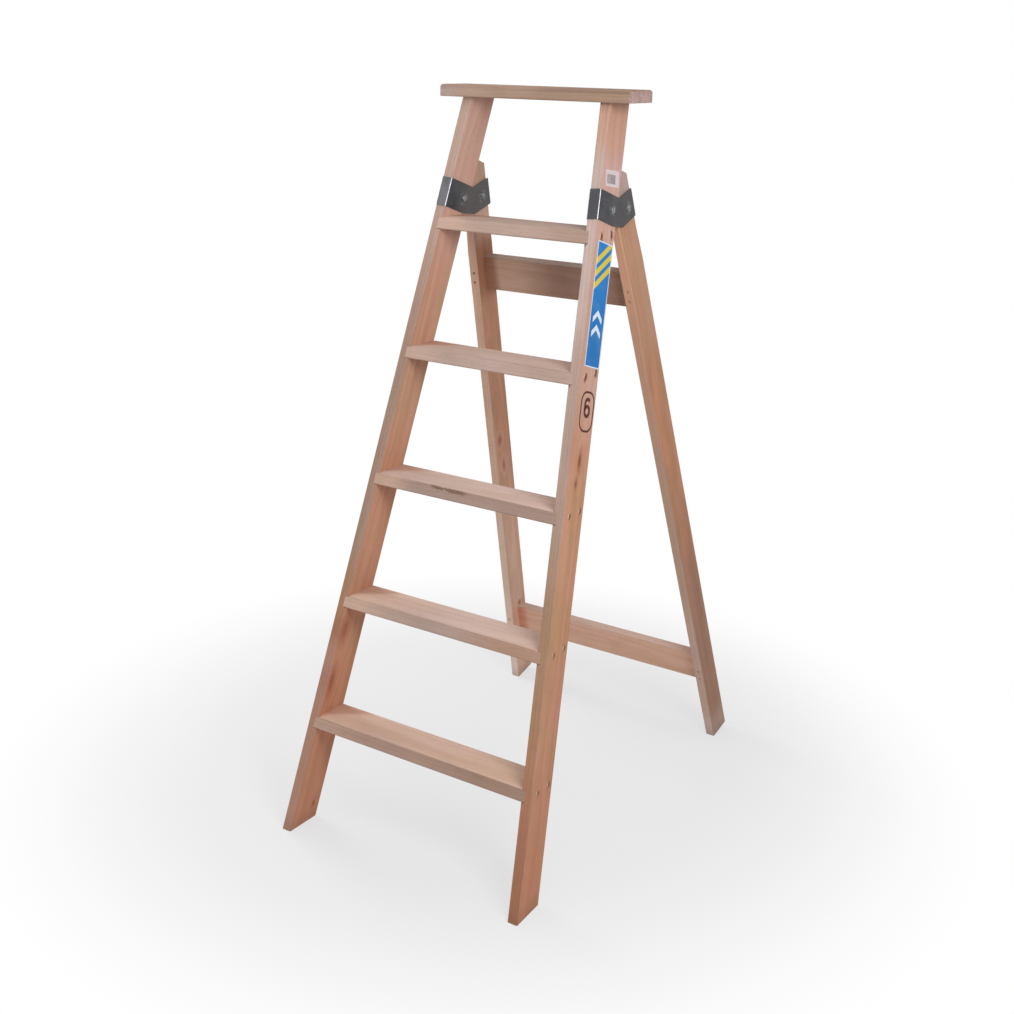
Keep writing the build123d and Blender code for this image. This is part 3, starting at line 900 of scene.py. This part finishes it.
def dress(node, material):
    """Puts one material on all of a CAD node."""
    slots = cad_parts[node].data.materials
    slots.clear()
    slots.append(material)


RIGHT_STILE_HEART, RIGHT_STILE_SEED = (0.0, 0.11, 0.02), 3.1
STILE_NAILS = [(FRONT_NAIL_UP, 0.0, FRONT_NAIL_IN), (REAR_NAIL_UP, 0.0, REAR_NAIL_IN)]
FOOT_CUT = [((0.0, 0.0, 0.0), (0.0, 0.0, -1.0))]
# A stretch along a tread, the plank or a rail that ends left of it, so that its tint covers all of it
ALL_ALONG = (-0.40, -0.30)
# The same below a leg's foot
ALL_UP = (-0.2, -0.1)


def dress_stiles():
    """Ruddy towards the feet and bleached higher up, their front edges paler higher up with painted frontal
    light, with knots, and with the treads' nail marks, which carry painted shade and highlights.
    """
    dress("right_stile", timber(
        "right_stile_timber", RIGHT_STILE, STILE_TIMBER, RIGHT_STILE_HEART, ring_width=8 * MM,
        seed=RIGHT_STILE_SEED,
        knots=[((0.985, 0.0, 0.043), 6.5 * MM, 2.8, 0.80), ((0.937, 0.0, 0.038), 4.5 * MM, 2.4, 0.75)],
        # The last mark is painted shade in the housing joint at each tread
        nails=STILE_NAILS + [(HOUSING_UP, -STILE_THICK, 0.0)], ends=FOOT_CUT,
        fades=[(0.42, 0.08, 0.55, RUDDY_FOOT), (0.98, 1.16, 0.65, BLEACHED),
               (1.46, 1.54, 0.60, PINK_STILE), (1.60, 1.66, 0.75, WARM_TOP)],
        # Front-edge tints: the pink and pale ones higher up are painted frontal light
        edge=[(0.58, 0.08, 0.50, RUDDY_FOOT_EDGE), (0.36, 0.56, 0.45, TAN_EDGE),
              (0.60, 0.95, 0.70, PINK_EDGE), (1.15, 1.30, 0.80, PALE_STILE_EDGE),
              (1.46, 1.54, 0.50, PINK_EDGE), (1.60, 1.66, 0.70, WARM_TOP)]))
    dress("left_stile", timber(
        "left_stile_timber", LEFT_STILE, STILE_TIMBER, heart=(0.0, -0.12, 0.06), ring_width=7.5 * MM,
        seed=8.4,
        knots=[((0.372, 0.0, 0.016), 9.5 * MM, 3.2, 0.40), ((0.500, 0.0, 0.017), 12 * MM, 2.2, 0.35),
               ((0.063, 0.0, 0.064), 5 * MM, 1.8, 0.60)],
        nails=STILE_NAILS, ends=FOOT_CUT,
        fades=[(0.70, 0.30, 0.45, RUDDY_FOOT), (0.90, 1.06, 0.20, BLEACHED), (1.28, 1.52, 0.65, BLEACHED)],
        # Front-edge tints: the grey and pale ones higher up are painted frontal light
        edge=[(0.55, 0.40, 0.60, PINK_FOOT_EDGE), (0.55, 0.75, 0.50, DULL_EDGE),
              (1.15, 1.45, 0.70, PALE_EDGE)]))


# Each tread: node, timber, (reach, share) of the pale left end on top, which is painted light, and what
# tread_front takes
TREADS = [("tread_1", WARM_TREAD, (0.22, 0.36), (0.36, DULL_FRONT, 0.10, 0.40, HANDLED_FRONT)),
          ("tread_2", PINK_TREAD, (0.24, 0.42), (0.18, DULL_FRONT, 0.45, 0.85, WARM_FRONT)),
          ("tread_3", PINK_TREAD, (0.10, 0.08), (0.52, DULL_FRONT, 0.55, 0.22, HANDLED_FRONT)),
          ("tread_4", PALE_TREAD, (0.10, 0.12), (0.36, RUBBED_FRONT, 0.30, 0.20, HANDLED_FRONT)),
          ("tread_5", DULL_TREAD, (0.10, 0.30), (0.52, RUBBED_FRONT, 0.30, 0.45, HANDLED_FRONT))]
TREAD_RESIN = {"tread_3": [((-0.022, 9 * MM, 42 * MM), 5 * MM, 7.0),
                           ((-0.066, 10 * MM, 42 * MM), 4.5 * MM, 6.0)]}
TREAD_LATE = 0.16
PALE_END_FULL, PALE_FRONT_REACH = 30 * MM, 130 * MM
DARK_END = (0.00, 0.18)
CORNER_SHARE = 0.6


def tread_front(left, share, colour, pale, right, tone):
    """Tints along a tread's front edge: one all along it, a pale left end that is painted light and a darker
    right end.
    """
    return [(*ALL_ALONG, share, colour), (left + PALE_FRONT_REACH, left + PALE_END_FULL, pale, LIT_CREAM_END),
            (*DARK_END, right, tone)]


def dress_treads():
    """Treads sawn from different places round the heart, so that no two show the same rings."""
    for number, (node, tone, (reach, share), front) in enumerate(TREADS, 1):
        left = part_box(node)[0].x
        heart = (0.0, -0.09 - 0.02 * (number % 3), 0.05 - 0.03 * (number % 2))
        dress(node, timber(
            f"{node}_timber", level_board(node, TREAD_THICK, TREAD_SLANT), tone, heart, ring_width=9 * MM,
            seed=11.0 + 2.3 * number, late=TREAD_LATE,
            # The pale left ends, on top and on the front, are painted light
            fades=[(left + reach, left + PALE_END_FULL, share, LIT_CREAM_END)], edge=tread_front(left, *front),
            # corner: painted shade in the back corner by the left stile
            resin=TREAD_RESIN.get(node, ()), corner=(left, CORNER_SHARE, SHADED_TREAD_CORNER)))


def dress_plank():
    """Trodden grey on top, its front pale to the left and brown to the right, both ends sawn."""
    low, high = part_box("top_plank")
    dress("top_plank", timber(
        "top_plank_timber", level_board("top_plank", PLANK_THICK), PLANK_TIMBER, heart=(0.0, -0.05, 0.06),
        ring_width=7 * MM, seed=29.0, ends=[(high, (1.0, 0.0, 0.0)), (low, (-1.0, 0.0, 0.0))],
        edge=[(-0.06, -0.14, 0.50, PALE_PLANK_FRONT), (-0.19, -0.215, 0.60, GREY_PLANK_END),
              (-0.04, 0.04, 0.60, BROWN_PLANK_FRONT), (0.16, 0.21, 0.50, BROWN_PLANK_FRONT)],
        top=[(*ALL_ALONG, 0.35, TRODDEN_GREY), (-0.05, 0.08, 0.50, TRODDEN_GREY)], arris=SMUDGE_GREY))


def dress_legs():
    """The right leg greyed towards its foot, the left one bleached; both darker at the top with painted shade
    under the straps, the left one also with painted shade by the rails.
    """
    dress("right_rear_leg", timber(
        "right_leg_timber", RIGHT_LEG, RIGHT_LEG_TIMBER, heart=(0.0, 0.10, 0.05), ring_width=8 * MM,
        seed=33.0, ends=FOOT_CUT,
        # The darker top and wedge are painted shade under the strap
        fades=[(0.90, 0.30, 0.7, GREYED), (0.10, 0.02, 0.6, PALE_FOOT), (1.08, 1.22, 0.8, SHADED_LEG_TOP),
               (1.48, 1.52, 0.8, SHADED_PINK_WEDGE)],
        # The tint all along the front edge is painted frontal light
        edge=[(*ALL_UP, 0.85, GREY_LEG_EDGE), (0.52, 0.38, 0.75, PINK_LEG_EDGE),
              (0.12, 0.03, 0.25, PALE_FOOT_EDGE), (0.85, 1.15, 0.8, WARM_LEG_EDGE),
              (1.22, 1.32, 0.8, PALE_EDGE_TOP)], arris=HANDLED_BROWN))
    dress("left_rear_leg", timber(
        "left_leg_timber", LEFT_LEG, LEFT_LEG_TIMBER, heart=(0.0, -0.09, 0.02), ring_width=7.5 * MM,
        seed=37.0, ends=FOOT_CUT,
        # The third knot, at 0.262 by the lower rail, is no knot: it is painted shade in the corner of the
        # joint
        knots=[((0.831, 0.0, 0.023), 6 * MM, 1.6, 0.30), ((0.748, 0.0, 0.030), 4.5 * MM, 2.8, 0.30),
               ((0.262, 0.0, 0.040), 5 * MM, 1.5, 0.45)],
        # The band from 1.22 to 1.27 is painted shade beside the upper rail
        fades=[(0.90, 0.40, 0.6, PALE_LEG), (1.22, 1.27, 0.6, SHADED_CORNER),
               # The darker wedge is painted shade under the strap
               (1.36, 1.42, 0.8, PALE_LEG_TOP), (1.46, 1.50, 0.8, SHADED_DULL_WEDGE)],
        # The tint all along the front edge is painted frontal light
        edge=[(*ALL_UP, 0.9, PALE_LEG_EDGE), (0.75, 0.50, 0.6, GREYED_LEG_EDGE),
              (0.12, 0.03, 0.45, PALE_FOOT_EDGE)]))


def dress_rails():
    """The upper rail brown to the right with a painted shadow; both with painted shade in the left corner,
    and dull along the top edge.
    """
    dress("upper_rail", timber(
        "upper_rail_timber", rail_board("upper_rail"), UPPER_RAIL_TIMBER, heart=(0.0, 0.09, -0.02),
        ring_width=7 * MM, seed=41.0,
        # Painted shade in the left corner by the leg, and a painted shadow over the right part
        fades=[(-0.148, -0.172, 0.85, SHADED_CORNER), (-0.11, 0.03, 0.66, BROWN_RAIL_SHADOW)],
        edge=[(*ALL_ALONG, 0.50, GREY_RAIL_TOP)]))
    dress("lower_rail", timber(
        "lower_rail_timber", rail_board("lower_rail"), LOWER_RAIL_TIMBER, heart=(0.0, 0.09, -0.02),
        # Painted shade in the left corner by the leg
        ring_width=8 * MM, seed=47.0, fades=[(-0.245, -0.268, 0.7, RUDDY_CORNER_SHADE)],
        edge=[(*ALL_ALONG, 0.95, DULL_RAIL_TOP)]))


# How far each strap's front and sides are rubbed
STRAPS = [("right", RIGHT_STILE, 0.25, 0.30), ("left", LEFT_STILE, 0.85, 0.50)]


def dress_ironwork():
    """Straps with their rivets, the nails, and the filled pins of the rails."""
    rivet = rivet_steel()
    for side, board, web_wear, cheek_wear in STRAPS:
        rivets = [f"{side}_strap_rivet", f"{side}_pivot_rivet"]
        dress(f"{side}_hinge_strap", strap_steel(f"{side}_strap_steel", board, web_wear, cheek_wear, rivets))
        for node in rivets:
            dress(node, rivet)
    iron = nail_iron()
    for node in ("left_tread_nails", "right_tread_nails", "plank_nails"):
        dress(node, iron)
    dress("upper_rail_pins", filled_pin("upper_pin_filled", FILLER_BROWN, 0.65))
    dress("lower_rail_pins", filled_pin("lower_pin_filled", FILLER_PALE, 0.1))


dress_stiles()
dress_treads()
dress_plank()
dress_legs()
dress_rails()
dress_ironwork()


# Marks on the right stile's outer face: (up, back) in board coordinates, a hair proud of the wood

LABEL_LOW, LABEL_HIGH = 1184 * MM, 1447 * MM
LABEL_FRONT, LABEL_BACK = 17 * MM, 83.5 * MM
LABEL_CORNER = 3 * MM
LABEL_PROUD = 0.15 * MM

STAMP_LOW, STAMP_HIGH = 1047 * MM, 1134 * MM
STAMP_FRONT, STAMP_BACK = 20 * MM, 81 * MM
STAMP_LINE = 4.6 * MM
STAMP_CORNER, STAMP_STEPS = 22 * MM, 12
NUMERAL_HIGH, NUMERAL_WIDE = 44 * MM, 29 * MM
NUMERAL_LINE = 8 * MM
NUMERAL_DROP = 13 * MM
STAMP_PROUD = 0.06 * MM

STICKER_UP, STICKER_BACK = 1581 * MM, 47 * MM
STICKER_WIDE, STICKER_HIGH = 60 * MM, 34 * MM
STICKER_TILT = math.radians(9)
STICKER_CORNER = 2 * MM
STICKER_PROUD = 0.12 * MM


def on_stile(up, back, proud):
    """Points of the right stile's outer face: start + grain * up + back * back + outward * proud."""
    place, grain = np.array(RIGHT_STILE.start), np.array(RIGHT_STILE.along)
    over, outward = np.array(RIGHT_STILE.over), np.array(RIGHT_STILE.through)
    up, back, proud = np.broadcast_arrays(up, back, proud)
    return place + up[..., None] * grain + back[..., None] * over + proud[..., None] * outward


def mesh_piece(name, points, faces, material, flat_map=None):
    """A mesh object at the origin that rides on the front frame; flat_map gives each vertex its (u, v)."""
    mesh = bpy.data.meshes.new(name)
    mesh.from_pydata(points.reshape(-1, 3).tolist(), [], faces)
    mesh.update()
    if flat_map is not None:
        corners = np.empty(len(mesh.loops), dtype=np.int32)
        mesh.loops.foreach_get("vertex_index", corners)
        mesh.uv_layers.new(name="print").data.foreach_set("uv", flat_map[corners].ravel())
    mesh.materials.append(material)
    piece = bpy.data.objects.new(name, mesh)
    bpy.context.scene.collection.objects.link(piece)
    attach(piece, "front_frame")


def rounded_outline(wide, high, corner, steps=6):
    """Rectangle with quarter-circle corners, anticlockwise, about the origin, as (across, up) points."""
    signs = np.array([[1, 1], [-1, 1], [-1, -1], [1, -1]])
    turn = np.arange(4)[:, None] * math.pi / 2 + np.linspace(0, math.pi / 2, steps)
    arcs = np.stack([np.cos(turn), np.sin(turn)], -1) * corner
    centres = signs * np.array([wide / 2 - corner, high / 2 - corner])
    return (arcs + centres[:, None]).reshape(-1, 2)


def thin_plate(outline, proud):
    """A flat plate on the stile from its (back, up) outline: base edge on the wood, top edge proud of it."""
    count = len(outline)
    rims = np.stack([outline, outline])
    lift = np.array([0.0, proud])[:, None]
    points = on_stile(rims[..., 1], rims[..., 0], lift)
    around = np.arange(count)
    ahead = np.roll(around, -1)
    walls = np.stack([around, ahead, ahead + count, around + count], -1).tolist()
    faces = walls + [(around + count).tolist(), around[::-1].tolist()]
    return points, faces


def ribbon(path, wide, proud, closed):
    """A flat line of one width: the path's points moved half the width to each side, square to its run."""
    if closed:
        run = np.roll(path, -1, 0) - np.roll(path, 1, 0)
    else:
        run = np.gradient(path, axis=0)
    run /= np.linalg.norm(run, axis=1, keepdims=True)
    side = np.stack([-run[:, 1], run[:, 0]], -1) * wide / 2
    edges = np.stack([path - side, path + side, path + side, path - side], 1)
    lift = np.array([0.0, 0.0, proud, proud])[None, :]
    points = on_stile(edges[..., 1], edges[..., 0], lift)
    count = len(path)
    rows = np.arange(count if closed else count - 1)[:, None] * 4
    ring = np.arange(4)[None, :]
    ahead = np.roll(ring, -1, 1)
    onward = (rows + 4) % (count * 4)
    faces = np.stack([rows + ring, rows + ahead, onward + ahead, onward + ring], -1).reshape(-1, 4).tolist()
    if not closed:
        last = (count - 1) * 4
        faces += [[3, 2, 1, 0], [last, last + 1, last + 2, last + 3]]
    return points, faces


LABEL_BLUE = (4, 118, 190)
LABEL_DEEP = (4, 106, 174)
LABEL_YELLOW = (212, 190, 48)
LABEL_WHITE = (214, 226, 240)
PRINT_SOFT = 0.4 * MM
# How many, their spacing and their width
BARS = 3, 26 * MM, 14.4 * MM
BAR_SLOPE, BARS_DOWN = 0.75, 80 * MM
CHEVRONS = 2, 30 * MM, 12.4 * MM
CHEVRON_SLOPE, CHEVRON_HALF, CHEVRON_UP = 0.8, 20.4 * MM, 0.30
BORDER_WIDE = 2.5 * MM
LABEL_RELIEF = 0.2 * MM
LABEL_SPECULAR = 0.15


def print_stripes(bench, value, low, count, spacing, wide):
    """1 where the value lies in one of a row of bands, the first of them from low up."""
    stripes = 0.0
    for number in range(count):
        start = low + number * spacing
        stripes = bench.most(bench.band(value, start, start + wide, PRINT_SOFT), stripes)
    return stripes


def label_print(wide, high):
    """Printed film: a blue field in a white border, three slanted yellow bars and two white chevrons.

    Bars: up - slope * across lies in a band. Chevrons: up + slope * distance from the middle does.
    """
    material, bench, shader = new_material("label_print")
    across, up = print_place(bench)
    fade = bench.group(HANDLING, Place=object_place(bench), Scale=30.0)["Smudge"]
    field = bench.blend(bench.step(up, 0.0, high), LABEL_DEEP, LABEL_BLUE)

    rising = bench.minus(up, bench.times(across, BAR_SLOPE))
    bars = print_stripes(bench, rising, high - BARS_DOWN - BAR_SLOPE * wide / 2, *BARS)
    field = bench.blend(bars, field, LABEL_YELLOW)

    from_middle = bench.sums("ABSOLUTE", bench.minus(across, wide / 2))
    peak = bench.plus(up, bench.times(from_middle, CHEVRON_SLOPE))
    chevrons = print_stripes(bench, peak, high * CHEVRON_UP, *CHEVRONS)
    chevrons = bench.times(chevrons, bench.step(from_middle, CHEVRON_HALF, CHEVRON_HALF - PRINT_SOFT))
    field = bench.blend(chevrons, field, LABEL_WHITE)

    from_side = bench.sums("MINIMUM", across, bench.minus(wide, across))
    from_end = bench.sums("MINIMUM", up, bench.minus(high, up))
    from_rim = bench.sums("MINIMUM", from_side, from_end)
    field = bench.blend(bench.step(from_rim, BORDER_WIDE, BORDER_WIDE - PRINT_SOFT), field, LABEL_WHITE)
    field = bench.tint(field, fade, 0.08, LABEL_WHITE)
    shader.inputs["Specular IOR Level"].default_value = LABEL_SPECULAR
    waves = bench.noise(object_place(bench), 60.0)
    lay_finish(bench, shader, field, bench.scaled(fade, 0.20, 0.42), waves, LABEL_RELIEF)
    return material


BURNT_BROWN = (72, 32, 18)
SCORCHED = (120, 68, 46)
BURNT_RELIEF = 0.15 * MM


def burnt_mark():
    """Burnt wood: nearly black where the iron pressed hard, brown where it skipped over the grain."""
    material, bench, shader = new_material("burnt_mark")
    grain = bench.group(BOARD_GRAIN, Place=board_place(bench, RIGHT_STILE), Heart=RIGHT_STILE_HEART,
                        Wander=GRAIN_WANDER, Seed=RIGHT_STILE_SEED)
    skipped = bench.step(grain["Fibres"], 0.5, 0.75)
    burnt = bench.blend(skipped, BURNT_BROWN, SCORCHED)
    lay_finish(bench, shader, burnt, bench.scaled(skipped, -0.15, 0.85), grain["Fibres"], BURNT_RELIEF)
    return material


PAPER_WHITE = (212, 195, 197)
PAPER_GREY = (148, 134, 138)
BLOCK_SOFT = 0.5 * MM
BLOCK_FRONT, BLOCK_BACK, BLOCK_LOW, BLOCK_HIGH = 0.09, 0.73, 0.16, 0.74
PAPER_RELIEF = 0.05 * MM


def sticker_paper(wide, high):
    """White paper with one grey printed block, rubbed thin in places."""
    material, bench, shader = new_material("sticker_paper")
    across, up = print_place(bench)
    block = bench.times(bench.band(across, wide * BLOCK_FRONT, wide * BLOCK_BACK, BLOCK_SOFT),
                        bench.band(up, high * BLOCK_LOW, high * BLOCK_HIGH, BLOCK_SOFT))
    rubbed = bench.group(HANDLING, Place=object_place(bench), Scale=60.0)["Smudge"]
    block = bench.times(block, bench.scaled(rubbed, -0.4, 1.0))
    paper = bench.blend(block, PAPER_WHITE, PAPER_GREY)
    fibres = bench.noise(object_place(bench), 400.0)
    lay_finish(bench, shader, paper, bench.scaled(rubbed, 0.2, 0.6), fibres, PAPER_RELIEF)
    return material


def make_printed(name, wide, high, corner, middle, tilt, proud, material):
    """A thin rounded plate about its (back, up) middle, turned by its tilt, its print laid out in metres."""
    outline = rounded_outline(wide, high, corner)
    turn = np.array([[math.cos(tilt), math.sin(tilt)], [-math.sin(tilt), math.cos(tilt)]])
    points, faces = thin_plate(outline @ turn + np.array(middle), proud)
    spread = np.concatenate([outline, outline]) + np.array([wide, high]) / 2
    mesh_piece(name, points, faces, material, spread)


def make_label():
    """The film on the stile, upright."""
    wide, high = LABEL_BACK - LABEL_FRONT, LABEL_HIGH - LABEL_LOW
    middle = (LABEL_FRONT + LABEL_BACK) / 2, (LABEL_LOW + LABEL_HIGH) / 2
    make_printed("label", wide, high, LABEL_CORNER, middle, 0.0, LABEL_PROUD, label_print(wide, high))


def make_sticker():
    """The paper above it, put on a little askew."""
    make_printed("sticker", STICKER_WIDE, STICKER_HIGH, STICKER_CORNER, (STICKER_BACK, STICKER_UP),
                 STICKER_TILT, STICKER_PROUD, sticker_paper(STICKER_WIDE, STICKER_HIGH))


# The numeral: heights of its bowl and of its arc as shares of the whole, where the arc starts, and its points
BOWL_SHARE, ARC_SHARE = 0.29, 0.26
ARC_START = math.radians(35)
ARC_STEPS, BOWL_STEPS = 12, 33


def numeral_six(wide, high):
    """Centre line of a plain 6: an arc from the top right, a straight back and a bowl that closes on it.

    Arc: part of an ellipse, half the width by its share of the height, from the arc's start to the left.
    Back: the straight line from there to the bowl. Bowl: a full ellipse, started at its left side.
    """
    half, bowl_high, arc_high = wide / 2, high * BOWL_SHARE, high * ARC_SHARE
    turn = np.linspace(ARC_START, math.pi, ARC_STEPS)
    arc = np.stack([half * np.cos(turn), high / 2 - arc_high + arc_high * np.sin(turn)], -1)
    turn = np.linspace(math.pi, 3 * math.pi, BOWL_STEPS)
    bowl = np.stack([half * np.cos(turn), -high / 2 + bowl_high + bowl_high * np.sin(turn)], -1)
    return np.concatenate([arc, bowl])


def make_stamp():
    """The size mark: a ring and a numeral, each a flat burnt line of one width."""
    burnt = burnt_mark()
    wide, high = STAMP_BACK - STAMP_FRONT, STAMP_HIGH - STAMP_LOW
    middle = np.array([STAMP_FRONT + STAMP_BACK, STAMP_LOW + STAMP_HIGH]) / 2
    ring = rounded_outline(wide - STAMP_LINE, high - STAMP_LINE, STAMP_CORNER, STAMP_STEPS)
    points, faces = ribbon(ring + middle, STAMP_LINE, STAMP_PROUD, True)
    mesh_piece("stamp_ring", points, faces, burnt)
    numeral = numeral_six(NUMERAL_WIDE - NUMERAL_LINE, NUMERAL_HIGH - NUMERAL_LINE)
    place = np.array([middle[0], STAMP_HIGH - NUMERAL_DROP - NUMERAL_HIGH / 2])
    points, faces = ribbon(numeral + place, NUMERAL_LINE, STAMP_PROUD, False)
    mesh_piece("stamp_numeral", points, faces, burnt)


make_label()
make_sticker()
make_stamp()


# Floor, light and camera

FLOOR_HALF = 12.0
FLOOR_PALE = screen_colour(224, 224, 229)
FLOOR_MIDDLE = (-0.15, 0.05, 0.0)
FLOOR_SPAN = 0.55, 1.30
FLOOR_GLOW = 0.72
FLOOR_TONE = 0.852
FLOOR_ROUGHNESS = 0.9
WHITE = (1.0, 1.0, 1.0, 1.0)


def seen_directly(bench):
    """1 for rays from the camera, off a mirror or through glass; 0 for the light that falls on things."""
    path = bench.put("ShaderNodeLightPath").outputs
    seen = bench.most(path["Is Camera Ray"], path["Is Glossy Ray"])
    return bench.most(seen, path["Is Transmission Ray"])


def make_floor():
    """A wide pale floor: light grey under the ladder, fading to the white of the background all round it."""
    corners = np.array([[-1, -1, 0], [1, -1, 0], [1, 1, 0], [-1, 1, 0]]) * FLOOR_HALF
    mesh = bpy.data.meshes.new("floor")
    mesh.from_pydata(corners.tolist(), [], [(0, 1, 2, 3)])
    material, bench, shader = new_material("floor_pale")
    shader.inputs["Base Color"].default_value = FLOOR_PALE
    shader.inputs["Roughness"].default_value = FLOOR_ROUGHNESS
    shader.inputs["Specular IOR Level"].default_value = 0.0
    away = bench.vectors("LENGTH", bench.vectors("SUBTRACT", object_place(bench), FLOOR_MIDDLE))
    outside = bench.step(away, *FLOOR_SPAN)
    tone = bench.scaled(outside, 1 - FLOOR_TONE, FLOOR_TONE)
    fade = bench.times(bench.scaled(outside, 1 - FLOOR_GLOW, FLOOR_GLOW), seen_directly(bench))
    glow = bench.put("ShaderNodeEmission", {"Color": WHITE, "Strength": tone})
    mixed = bench.fill(bench.put("ShaderNodeMixShader"), (fade, shader.outputs[0], glow.outputs[0]))
    bench.feed(material.node_tree.nodes["Material Output"].inputs["Surface"], mixed.outputs[0])
    mesh.materials.append(material)
    floor = bpy.data.objects.new("floor", mesh)
    bpy.context.scene.collection.objects.link(floor)


WORLD_LIGHT = 0.42


def make_world():
    """White all round for the camera and for reflections, a softer white as light on the ladder."""
    world = bpy.data.worlds.new("studio")
    world.use_nodes = True
    bench = Bench(world.node_tree)
    ground = world.node_tree.nodes["Background"]
    ground.inputs["Color"].default_value = WHITE
    bench.feed(ground.inputs["Strength"], bench.most(seen_directly(bench), WORLD_LIGHT))
    bpy.context.scene.world = world


# Soft boxes that face the ladder's middle: name, place, size and power
LADDER_MIDDLE = (0.0, 0.0, 0.85)
SOFT_BOXES = [("key_softbox", (1.5, -1.05, 1.95), 0.9, 24), ("side_softbox", (-1.6, 0.2, 1.30), 0.8, 21),
              ("top_softbox", (0.0, -0.4, 3.2), 1.6, 14)]


def make_lamps():
    """Square soft boxes, out of the camera's sight."""
    for name, place, size, power in SOFT_BOXES:
        lamp = bpy.data.lights.new(name, "AREA")
        lamp.shape, lamp.size, lamp.energy = "SQUARE", size, power
        made = bpy.data.objects.new(name, lamp)
        made.location = place
        made.visible_camera = False
        made.rotation_euler = (Vector(LADDER_MIDDLE) - Vector(place)).to_track_quat("-Z", "Y").to_euler()
        bpy.context.scene.collection.objects.link(made)


# Where the photograph was taken from: aim point, bearing, height angle, tilt of the frame, and the lens
AIM_RIGHT, AIM_UP = 0.232342, 0.912228
BEARING, HEIGHT_ANGLE, FRAME_TILT = (math.radians(x) for x in (32.811, 18.786, 1.221))
CAMERA_AWAY = 2.553879
LENS, SENSOR = 47.2986, 36.0
SHIFT_RIGHT, SHIFT_UP = 0.018148, -0.0000557


def make_camera():
    """Looks back along (bearing, height angle) at the aim point, turned in its own plane by the tilt."""
    away = Vector((math.sin(BEARING) * math.cos(HEIGHT_ANGLE), -math.cos(BEARING) * math.cos(HEIGHT_ANGLE),
                   math.sin(HEIGHT_ANGLE)))
    right = Vector((math.cos(BEARING), math.sin(BEARING), 0.0))
    up = away.cross(right)
    wide = right * math.cos(FRAME_TILT) + up * math.sin(FRAME_TILT)
    tall = up * math.cos(FRAME_TILT) - right * math.sin(FRAME_TILT)
    aim = Vector((AIM_RIGHT, cad_box[0].y, AIM_UP))
    data = bpy.data.cameras.new("photograph")
    data.lens, data.sensor_width, data.sensor_fit = LENS, SENSOR, "HORIZONTAL"
    data.shift_x, data.shift_y = SHIFT_RIGHT, SHIFT_UP
    camera = bpy.data.objects.new("photograph", data)
    turned = Matrix((wide, tall, away)).transposed().to_4x4()
    camera.matrix_world = Matrix.Translation(aim + away * CAMERA_AWAY) @ turned
    bpy.context.scene.collection.objects.link(camera)
    bpy.context.scene.camera = camera


make_floor()
make_world()
make_lamps()
make_camera()
bpy.context.scene.view_settings.view_transform = "Standard"
